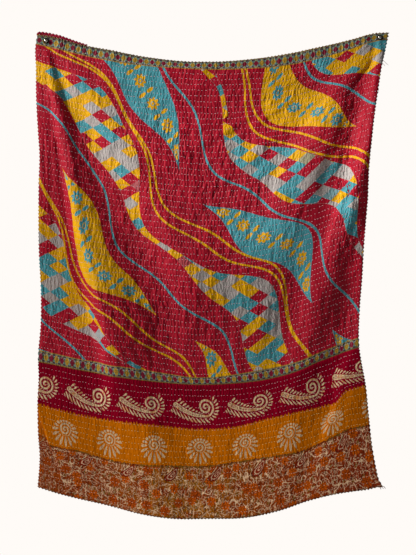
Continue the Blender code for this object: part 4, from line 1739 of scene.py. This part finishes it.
@dataclass
class RunningStitch:
    """Rows of running stitch over one panel, seen on its face and, between those, on its back."""

    panel: QuiltPanel
    tree: StitchTree
    thread: Material
    length_unevenness: float = 0.3
    stray: float = 0.0012
    row_stray: float = 0.7
    slant: float = 0.1
    side_margin: float = 0.006
    pin_margin: float = 0.013
    lost_share: float = 0.012

    # v where each dye starts, and the share of red, green and blue that it takes.
    DYE_STAINS = (
        (0.0, (0.0, 0.1, 0.0)), (1.146, (0.0, 0.42, -0.12)),
        (1.305, (0.0, 0.0, 0.55)), (1.433, (0.0, 0.12, 0.06)),
    )

    def places(self, face: bool, chance: np.random.Generator) -> tuple[Array, Array]:
        """Where the stitches' middles lie on the flat cloth.

        Args:
            face: True for the face, False for the back.
            chance: The maker's unsteady hand.

        Returns:
            Their distances across and down.
        """
        panel, quilting = self.panel, self.panel.quilting
        pitch, spacing = quilting.stitch_pitch, (panel.end_v - panel.start_v) / panel.stitched_rows
        count = round(quilting.cut_width / pitch)
        number = np.arange(count) + (0.5 if face else 0.0)
        every_u, every_v = [], []
        for row in range(1, panel.stitched_rows):
            v = np.full(count, panel.start_v + row * spacing)
            u = number * pitch
            for _ in range(3):
                u = (number - quilting.phase(u, v)) * pitch + u
            u = u + chance.normal(0.0, self.stray, count)
            v = v + chance.normal(0.0, self.stray * self.row_stray, count)
            inside = (u > self.side_margin) & (u < quilting.cut_width - self.side_margin)
            inside &= chance.random(count) > self.lost_share
            every_u.append(u[inside])
            every_v.append(v[inside])
        return np.concatenate(every_u), np.concatenate(every_v)

    def make(self, face: bool, seed: int) -> Object:
        """Lay the stitches of the face, or of the back.

        Args:
            face: True for the face.
            seed: Seed of their unevenness.

        Returns:
            The stitches' object.
        """
        panel, quilting, surface = self.panel, self.panel.quilting, self.panel.surface
        chance = np.random.default_rng(seed)
        u, v = self.places(face, chance)
        table = surface.front if face else surface.back
        out = unit(surface.read(surface.normal, u, v)) * (1.0 if face else -1.0)
        points = surface.read(table, u, v) + out * quilting.stitch_lift
        step = quilting.stitch_pitch / 4
        lie = unit(surface.read(table, u + step, v) - surface.read(table, u - step, v))
        lie = lie + UP * chance.normal(0.0, self.slant, len(u))[:, None]
        lie = unit(lie - out * np.sum(lie * out, axis=1, keepdims=True))
        free = np.ones(len(u), bool)
        for pin_x, pin_z in panel.shape.pins:
            free &= np.hypot(points[:, 0] - pin_x, points[:, 2] - pin_z) > self.pin_margin
        name = f"{panel.name}_{'face' if face else 'back'}_stitches"
        sizes = (*quilting.stitch_size, self.length_unevenness)
        stain = self.stain(v) if face else np.zeros_like(points)
        return self.tree.lay(name, points[free], lie[free], out[free], sizes, seed, self.thread, stain[free])

    def stain(self, v: Array) -> Array:
        """Share of red, green and blue that the dye takes from each stitch of the face, by its v."""
        bands, stains = zip(*self.DYE_STAINS)
        return np.array(stains)[np.searchsorted(bands, v, side="right") - 1]


@dataclass
class OvercastEdge:
    """Whipped stitches that close a panel's free edges: at each bite one over the edge, one on the face."""

    panel: QuiltPanel
    tree: StitchTree
    thread: Material
    sizes: tuple[float, ...] = (0.0058, 0.0014, 0.0012, 0.2)
    edge_lift: float = 0.0001
    face_lift: float = 0.0002
    lap: float = 0.0022
    lean: float = 0.25

    def make(self, seed: int) -> Object:
        """Lay the stitches of the two sides, and of the free head or foot.

        Args:
            seed: Seed of their unevenness.

        Returns:
            The stitches' object.
        """
        surface = self.panel.surface
        rows, columns = surface.front.shape[:2]
        odd_rows = np.arange(1, rows - 1, 2)
        bites = np.arange(4, columns - 2, self.panel.quilting.cells_per_stitch)
        end_row, end_way = (0, 1.0) if self.panel.free_head else (rows - 1, -1.0)
        lines = (
            (odd_rows, np.zeros(len(odd_rows), int), np.array([-1.0, 0.0, 0.0])),
            (odd_rows, np.full(len(odd_rows), columns - 1), np.array([1.0, 0.0, 0.0])),
            (np.full(len(bites), end_row), bites, np.array([0.0, 0.0, end_way])),
        )
        points, lie, out = [], [], []
        for row, column, away in lines:
            front, back = surface.front[row, column], surface.back[row, column]
            normal = surface.normal[row, column]
            outward = np.broadcast_to(away, front.shape)
            points += [(front + back) / 2 + away * self.edge_lift]
            points += [front + normal * self.face_lift - away * self.lap]
            lie += [unit(normal + self.lean * UP), outward]
            out += [outward, normal]
        gathered = [np.concatenate(part) for part in (points, lie, out)]
        return self.tree.lay(self.panel.name + "_edge_stitches", *gathered, self.sizes, seed, self.thread)


@dataclass
class SeamStitches:
    """Small slanted stitches that join the strip's head to the foot of the main panel."""

    upper: QuiltPanel
    lower: QuiltPanel
    tree: StitchTree
    thread: Material
    sizes: tuple[float, ...] = (0.0042, 0.0011, 0.0009, 0.2)
    pitch_cells: int = 2
    lift: float = 0.00015
    slant: float = 0.5

    def make(self, seed: int) -> Object:
        """Lay the stitches across the seam.

        Args:
            seed: Seed of their unevenness.

        Returns:
            The stitches' object.
        """
        above, below = self.upper.surface, self.lower.surface
        columns = np.arange(2, above.front.shape[1] - 2, self.pitch_cells)
        normal = above.normal[-1, columns]
        points = (above.front[-1, columns] + below.front[0, columns]) / 2 + normal * self.lift
        across = unit(above.front[-2, columns] - below.front[1, columns])
        lie = unit(across + self.slant * unit(np.gradient(above.front[-1], axis=0)[columns]))
        return self.tree.lay("seam_stitches", points, lie, normal, self.sizes, seed, self.thread)


@dataclass
class LooseThreads:
    """Thread ends that stand out from an edge and droop."""

    name: str
    thread: Material
    radius: float
    sides: int = 6
    steps: int = 14
    droop: float = 1.1
    tip_thinning: float = 0.55
    strands: list[Array] = field(default_factory=list)

    def add(self, start: Array, heading: Sequence[float], length: float, curl: float, seed: int) -> None:
        """Add a strand.

        Args:
            start: Where it leaves the cloth.
            heading: Its first direction.
            length: Its length in metres.
            curl: How much it wanders.
            seed: Seed of its wandering.
        """
        chance = np.random.default_rng(seed)
        bend = np.cumsum(chance.normal(0.0, curl, (self.steps, 3)), axis=0)
        fall = np.linspace(0.0, 1.0, self.steps)[:, None] * UP * -self.droop
        directions = unit(np.asarray(heading, float) + bend * np.array([1.0, 0.4, 1.0]) + fall)
        way = np.concatenate([[np.zeros(3)], np.cumsum(directions, axis=0)])
        self.strands.append(start + way * (length / self.steps))

    def make(self) -> Object:
        """Turn the strands into thin closed tubes.

        Returns:
            The threads' object.
        """
        points, faces = [], []
        angles = np.arange(self.sides) * (math.tau / self.sides)
        for path in self.strands:
            tangent = unit(np.gradient(path, axis=0))
            side = unit(np.cross(tangent, np.array([0.3, 1.0, 0.2])))
            other = np.cross(tangent, side)
            rings = len(points) + np.arange(len(path) * self.sides).reshape(len(path), self.sides)
            for k, centre in enumerate(path):
                radius = self.radius * (1.0 - self.tip_thinning * (k / (len(path) - 1)) ** 3)
                for angle in angles:
                    points.append(centre + (side[k] * math.cos(angle) + other[k] * math.sin(angle)) * radius)
            turned = np.roll(rings, -1, axis=1)
            faces += quads(rings[:-1], turned[:-1], turned[1:], rings[1:])
            faces += [rings[0][::-1].tolist(), rings[-1].tolist()]
        return new_piece(self.name, np.array(points), faces, (self.thread,))


# Reverse cloth at the corner ----------


@dataclass
class ReverseEdge:
    """The reverse cloth that stands above the top edge at the left corner, pinched by the edge stitches."""

    panel: QuiltPanel
    cloth: Material
    reach: float = 0.183
    rise: float = 0.0115
    thickness: float = 0.0012
    taper: float = 0.62
    clearance: float = 0.0003
    corner_rise: float = 0.55
    corner_reach: float = 0.12
    pinch: float = 0.45
    swelling: float = 0.25
    map_gap: float = 0.02
    cut_length: float = 0.012
    cut_area: float = 0.0015
    name: str = "reverse_cloth_edge"

    # The strip's section from foot to head: share of its rise, then of its thickness.
    SECTION = ((0.0, 1.0), (0.3, 1.25), (0.65, 1.15), (0.9, 0.85), (1.0, 0.45))

    def make(self) -> Object:
        """Build the strip as a closed sheet with scalloped upper edge.

        Returns:
            The strip's object.
        """
        surface = self.panel.surface
        columns = np.arange(int(self.reach / (surface.across[1] - surface.across[0])) + 1)
        u = surface.across[columns]
        share = u / u[-1]
        front, back = surface.front[0, columns], surface.back[0, columns]
        normal = unit(surface.normal[0, columns])
        up = unit(np.cross(unit(np.gradient(front, axis=0)), normal))
        up *= np.where(up[:, 2:3] < 0, -1.0, 1.0)
        bump = np.abs(np.sin(math.pi * u / self.panel.quilting.stitch_pitch)) ** 0.8
        corner = np.minimum(1.0, self.corner_rise + share / self.corner_reach)
        rise = self.rise * (1.0 - self.taper * share**2) * corner * (1.0 - self.pinch + self.pinch * bump)
        section = [(1.0, *row) for row in self.SECTION] + [(-1.0, *row) for row in self.SECTION[::-1]]
        outline, flat = [], []
        for side, level, width in section:
            lift = self.clearance + rise * level
            out = side * self.thickness / 2 * width * (1.0 + self.swelling * bump)
            outline.append((front + back) / 2 + up * lift[:, None] + normal * out[:, None])
            flat.append(np.stack([u, -lift - (0.0 if side > 0 else self.map_gap)], axis=-1))
        ring = np.stack(outline, axis=1)
        count, around = ring.shape[:2]
        index = np.arange(count * around).reshape(count, around)
        faces: list[Sequence[int]] = []
        for k in range(around):
            n = (k + 1) % around
            faces += quads(index[:-1, k], index[1:, k], index[1:, n], index[:-1, n])
        faces += [index[0].tolist(), index[-1][::-1].tolist()]
        piece = new_piece(self.name, ring.reshape(-1, 3), faces, (self.cloth,))
        add_flat_map(piece.data, "cloth", np.stack(flat, axis=1).reshape(-1, 2))
        # Mark for painted light and shade: the finish makes the strip lighter where it swells between bites
        # and darker at the pinches.
        store(piece.data, "pucker", 0.3 + 0.5 * np.repeat(bump, around))
        return piece


# Pins ---------------------------------


@dataclass
class HangingPin:
    """A round-headed pin in its cup washer."""

    side: str
    x: float
    z: float
    steel: Material
    brass: Material
    cloth_front: float = 0.0075
    gap: float = 0.0003
    washer_thickness: float = 0.0018
    washer_radius: float = 0.0102
    washer_hole: float = 0.0015
    washer_lip: float = 0.0008
    head_radius: float = 0.0066
    head_height: float = 0.0052
    shank_radius: float = 0.0012
    tip_y: float = 0.014
    point_length: float = 0.0048
    steps: int = 40
    dome_steps: int = 14
    sharp_angle: float = math.radians(50)

    def turned(self, name: str, profile: Sequence[tuple[float, float]], metal: Material) -> Object:
        """Turn a profile about the pin's axis.

        Args:
            name: The piece's name.
            profile: Radius and y of each corner, from the front of the outline to its back.
            metal: The finish.

        Returns:
            The turned piece, closed and outward.
        """
        points, rings = [], []
        for radius, y in profile:
            if radius == 0.0:
                rings.append([len(points)] * self.steps)
                points.append((self.x, y, self.z))
                continue
            rings.append(list(range(len(points), len(points) + self.steps)))
            for k in range(self.steps):
                angle = math.tau * k / self.steps
                points.append((self.x + radius * math.cos(angle), y, self.z + radius * math.sin(angle)))
        closed = profile[0][0] > 0.0
        faces = []
        for one, two in [*zip(rings, rings[1:]), *([(rings[-1], rings[0])] if closed else [])]:
            for k in range(self.steps):
                n = (k + 1) % self.steps
                faces.append(list(dict.fromkeys((one[k], one[n], two[n], two[k])))[::-1])
        piece = new_piece(name, np.array(points), faces, (metal,))
        piece.data.set_sharp_from_angle(angle=self.sharp_angle)
        return piece

    def make(self) -> list[tuple[Object, str]]:
        """Build the pin and its washer.

        Returns:
            Each piece with the name of the node that it stands for.
        """
        washer_back = -(self.cloth_front + self.gap)
        washer_front = washer_back - self.washer_thickness
        seat, rim = washer_front - self.gap, self.head_radius
        dome = []
        for k in range(self.dome_steps):
            angle = math.pi / 2 * k / self.dome_steps
            dome.append((rim * math.sin(angle), seat - self.head_height * math.cos(angle)))
        pin = self.turned(f"round_headed_pin_{self.side}", dome + [
            (rim, seat - 0.5 * MM),
            (rim - 0.2 * MM, seat - 0.1 * MM),
            (rim - 0.6 * MM, seat),
            (self.shank_radius, seat),
            (self.shank_radius, self.tip_y - self.point_length),
            (0.0, self.tip_y),
        ], self.steel)
        lip, wide = washer_front - self.washer_lip, self.washer_radius
        washer = self.turned(f"cup_washer_{self.side}", (
            (self.washer_hole, washer_front),
            (rim + 0.3 * MM, washer_front),
            (rim + 0.8 * MM, lip + 0.2 * MM),
            (rim + 1.3 * MM, lip),
            (wide - 1.2 * MM, lip),
            (wide - 0.4 * MM, lip + 0.5 * MM),
            (wide, washer_front + 0.6 * MM),
            (wide, washer_back),
            (self.washer_hole, washer_back),
        ), self.brass)
        return [(pin, f"pin_{self.side}"), (washer, f"washer_{self.side}")]


# Room, light and camera ---------------


@dataclass(frozen=True)
class Studio:
    """Pale floor, raking key light from the left, a lit patch as from a window, weak fill, and the camera."""

    camera_distance: float = 5.0
    view_x: float = -0.0174
    view_z: float = -0.8497
    view_height: float = 1.97
    plane_depth: float = 0.03
    key_azimuth: float = math.radians(69.5)
    key_elevation: float = math.radians(22.0)
    key_strength: float = 2.9
    key_softness: float = math.radians(10.0)
    key_color: tuple[float, float, float] = (1.0, 0.975, 0.94)
    window_power: float = 520.0
    window_distance: float = 4.0
    window_reach: float = 0.42
    window_softness: float = 0.3
    window_aim: tuple[float, float, float] = (0.13, 0.0, -0.43)
    fill_color: tuple[float, float, float, float] = (0.99, 0.98, 1.0, 1.0)
    fill_strength: float = 0.09
    ground_color: str = "#FFFBF7"
    floor_color: str = "#F2EFEA"
    floor_z: float = -2.35
    floor_side: float = 3.0
    floor_near: float = -4.5
    floor_far: float = 1.8

    def light(self) -> None:
        """Add the key light and the light of the window, which come the same way."""
        key = bpy.data.lights.new("key", "SUN")
        key.energy = self.key_strength
        key.angle = self.key_softness
        key.color = self.key_color
        azimuth, rise = self.key_azimuth, self.key_elevation
        level = math.cos(rise)
        towards = Vector((-math.sin(azimuth) * level, -math.cos(azimuth) * level, math.sin(rise)))
        turn = towards.to_track_quat("Z", "Y").to_euler()
        linked("key", key).rotation_euler = turn
        window = bpy.data.lights.new("window", "SPOT")
        window.energy = self.window_power
        window.color = self.key_color
        window.spot_size = 2 * math.atan(self.window_reach / self.window_distance)
        window.spot_blend = 1.0
        window.shadow_soft_size = self.window_softness
        lamp = linked("window", window)
        lamp.location = Vector(self.window_aim) + towards * self.window_distance
        lamp.rotation_euler = turn

    def room(self) -> None:
        """Add the room's weak light, which the camera sees as a pale ground."""
        world = bpy.data.worlds.new("room")
        bpy.context.scene.world = world
        world.use_nodes = True
        world.node_tree.nodes.clear()
        node = partial(add_node, world.node_tree)
        seen = node("ShaderNodeLightPath").outputs["Is Camera Ray"]
        fill = node("ShaderNodeBackground", {"Color": self.fill_color, "Strength": self.fill_strength})
        pale = node("ShaderNodeBackground", {"Color": linear_color(self.ground_color), "Strength": 1.0})
        node("ShaderNodeOutputWorld", {0: node("ShaderNodeMixShader", {0: seen, 1: fill, 2: pale})})
        bpy.context.scene.view_settings.view_transform = "Standard"

    def floor(self) -> Object:
        """Lay the floor of pale plaster: matt and faintly mottled.

        Returns:
            The floor.
        """
        material, tree, shader = new_material("pale plaster floor")
        place = add_node(tree, "ShaderNodeTexCoord").outputs["Object"]
        mottle = read_node(tree, "ShaderNodeTexNoise", {"Vector": place, "Scale": 3.0})
        paint = Paint(tree, self.floor_color)
        paint.scaled((mottle - 0.5) * 0.06 + 1.0)
        wire(tree, shader, {"Base Color": paint.color, "Roughness": 0.9})
        side, near, far = self.floor_side, self.floor_near, self.floor_far
        corners = [(x, y, self.floor_z) for x, y in ((-side, near), (side, near), (side, far), (-side, far))]
        return new_piece("floor", np.array(corners), [(0, 1, 2, 3)], (material,), smooth=False)

    def camera(self) -> None:
        """Set the camera straight in front of the quilt."""
        camera = bpy.data.cameras.new("camera")
        half = math.atan(self.view_height / 2 / (self.camera_distance - self.plane_depth))
        camera.lens = camera.sensor_width / 2 / math.tan(half)
        stand = linked("camera", camera)
        stand.location = (self.view_x, -self.camera_distance, self.view_z)
        stand.rotation_euler = (math.pi / 2, 0.0, 0.0)
        bpy.context.scene.camera = stand


# Assembly -----------------------------


class KanthaQuilt:
    """The whole quilt on its pins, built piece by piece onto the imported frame."""

    MAIN_ROWS = 57
    STRIP_ROWS = 24
    SEAM_SEED = 17
    FACE_SEED = 101
    BACK_SEED = 201
    EDGE_SEED = 301
    # The loose ends of the right edge: row, heading, length, curl and seed.
    LOOSE_ENDS = (
        (1, (1.0, -0.1, 0.4), 0.014, 0.3, 1),
        (2, (1.0, -0.2, -0.2), 0.012, 0.35, 2),
        (16, (0.9, -0.3, -0.8), 0.026, 0.22, 3),
        (17, (0.7, -0.2, -0.9), 0.018, 0.3, 4),
        (31, (0.6, -0.3, -1.0), 0.02, 0.25, 5),
    )

    def __init__(self) -> None:
        """Make the shape, the quilting and the finishes."""
        self.shape = HungShape()
        self.quilting = Quilting()
        self.tree = StitchTree()
        self.thread = ThreadFinish().make()
        self.cream_thread = ThreadFinish("cream quilting thread", "#FFE6BC", "#F2CCA0").make()
        self.edge_thread = ThreadFinish("dark overcast thread", "#74292E", "#381214").make()
        self.plain = PlainCloth().make()
        top, seam, bottom = self.shape.top_v, self.shape.seam_v, self.shape.bottom_v
        sewn = (self.shape, self.quilting)
        names = ("main_panel", "upper_panel", "main_cloth")
        self.main = QuiltPanel(*names, top, seam, self.MAIN_ROWS, True, *sewn)
        names = ("foot_strip", "lower_panel", "strip_cloth")
        self.strip = QuiltPanel(*names, seam, bottom, self.STRIP_ROWS, False, *sewn)

    def place(self, piece: Object, slot: str, *nodes: str) -> None:
        """Fix a piece to the quilt's body.

        Args:
            piece: The piece.
            slot: Its slot; not used.
            nodes: The nodes that it stands for.
        """
        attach(piece, BODY)
        if nodes:
            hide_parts(*nodes)
        LOG.info("%s: %d faces", piece.name, len(piece.data.polygons))

    def make_panels(self) -> None:
        self.main.make(MainCloth().make(), self.plain)
        self.strip.make(StripCloth().make(), self.plain)
        seam = SeamStitches(self.main, self.strip, self.tree, self.edge_thread).make(self.SEAM_SEED)
        for number, (panel, thread) in enumerate(((self.main, self.thread), (self.strip, self.cream_thread))):
            self.place(panel.piece, panel.slot, panel.node)
            running = RunningStitch(panel, self.tree, thread)
            edging = OvercastEdge(panel, self.tree, self.edge_thread)
            sewn = [
                running.make(True, self.FACE_SEED + number), running.make(False, self.BACK_SEED + number),
                edging.make(self.EDGE_SEED + number), *([seam] if panel is self.strip else []),
            ]
            for piece in sewn:
                self.place(piece, panel.slot)

    def make_trims(self) -> None:
        """Build the reverse cloth's edge, the loose threads and the pins."""
        edge = ReverseEdge(self.main, self.plain)
        strip = edge.make()
        self.place(strip, "reverse_cloth", "reverse_edge")
        for piece, slot in self.make_threads():
            self.place(piece, slot)
        steel = MetalFinish("polished nickelled steel", "#D9D6CE", 0.14, 0.25).make()
        brass = MetalFinish("blackened brass", "#3A2C22", 0.3, 0.45).make()
        for side, (x, z) in zip(("left", "right"), self.shape.pins):
            for piece, node in HangingPin(side, x, z, steel, brass).make():
                self.place(piece, "pin_steel" if node.startswith("pin") else "washer_brass", node)

    def make_threads(self) -> list[tuple[Object, str]]:
        """Build the loose ends along the right edge and the three at the lower right corner.

        Returns:
            Each piece with its slot.
        """
        edge = LooseThreads("loose_threads", self.edge_thread, 0.0007)
        right = self.main.surface.front[:, -1]
        for row, heading, length, curl, seed in self.LOOSE_ENDS:
            edge.add(right[row] + np.array([-0.001, 0.0, 0.0]), heading, length, curl, seed)
        corner = LooseThreads("frayed_corner", self.edge_thread, 0.0011)
        foot = self.strip.surface.front[-1]
        for k in range(3):
            corner.add(foot[-1 - k], (1.0, -0.1, -0.3 - 0.2 * k), 0.012 - 0.002 * k, 0.2, 20 + k)
        return [(edge.make(), "main_cloth"), (corner.make(), "strip_cloth")]


def main() -> None:
    """Build the quilt, its room, lights and camera, and note the sizes."""
    logging.basicConfig(level=logging.INFO, format="%(message)s")
    studio = Studio()
    quilt = KanthaQuilt()
    quilt.make_panels()
    quilt.make_trims()
    studio.floor()
    studio.light()
    studio.room()
    studio.camera()


if __name__ == "__main__":
    main()
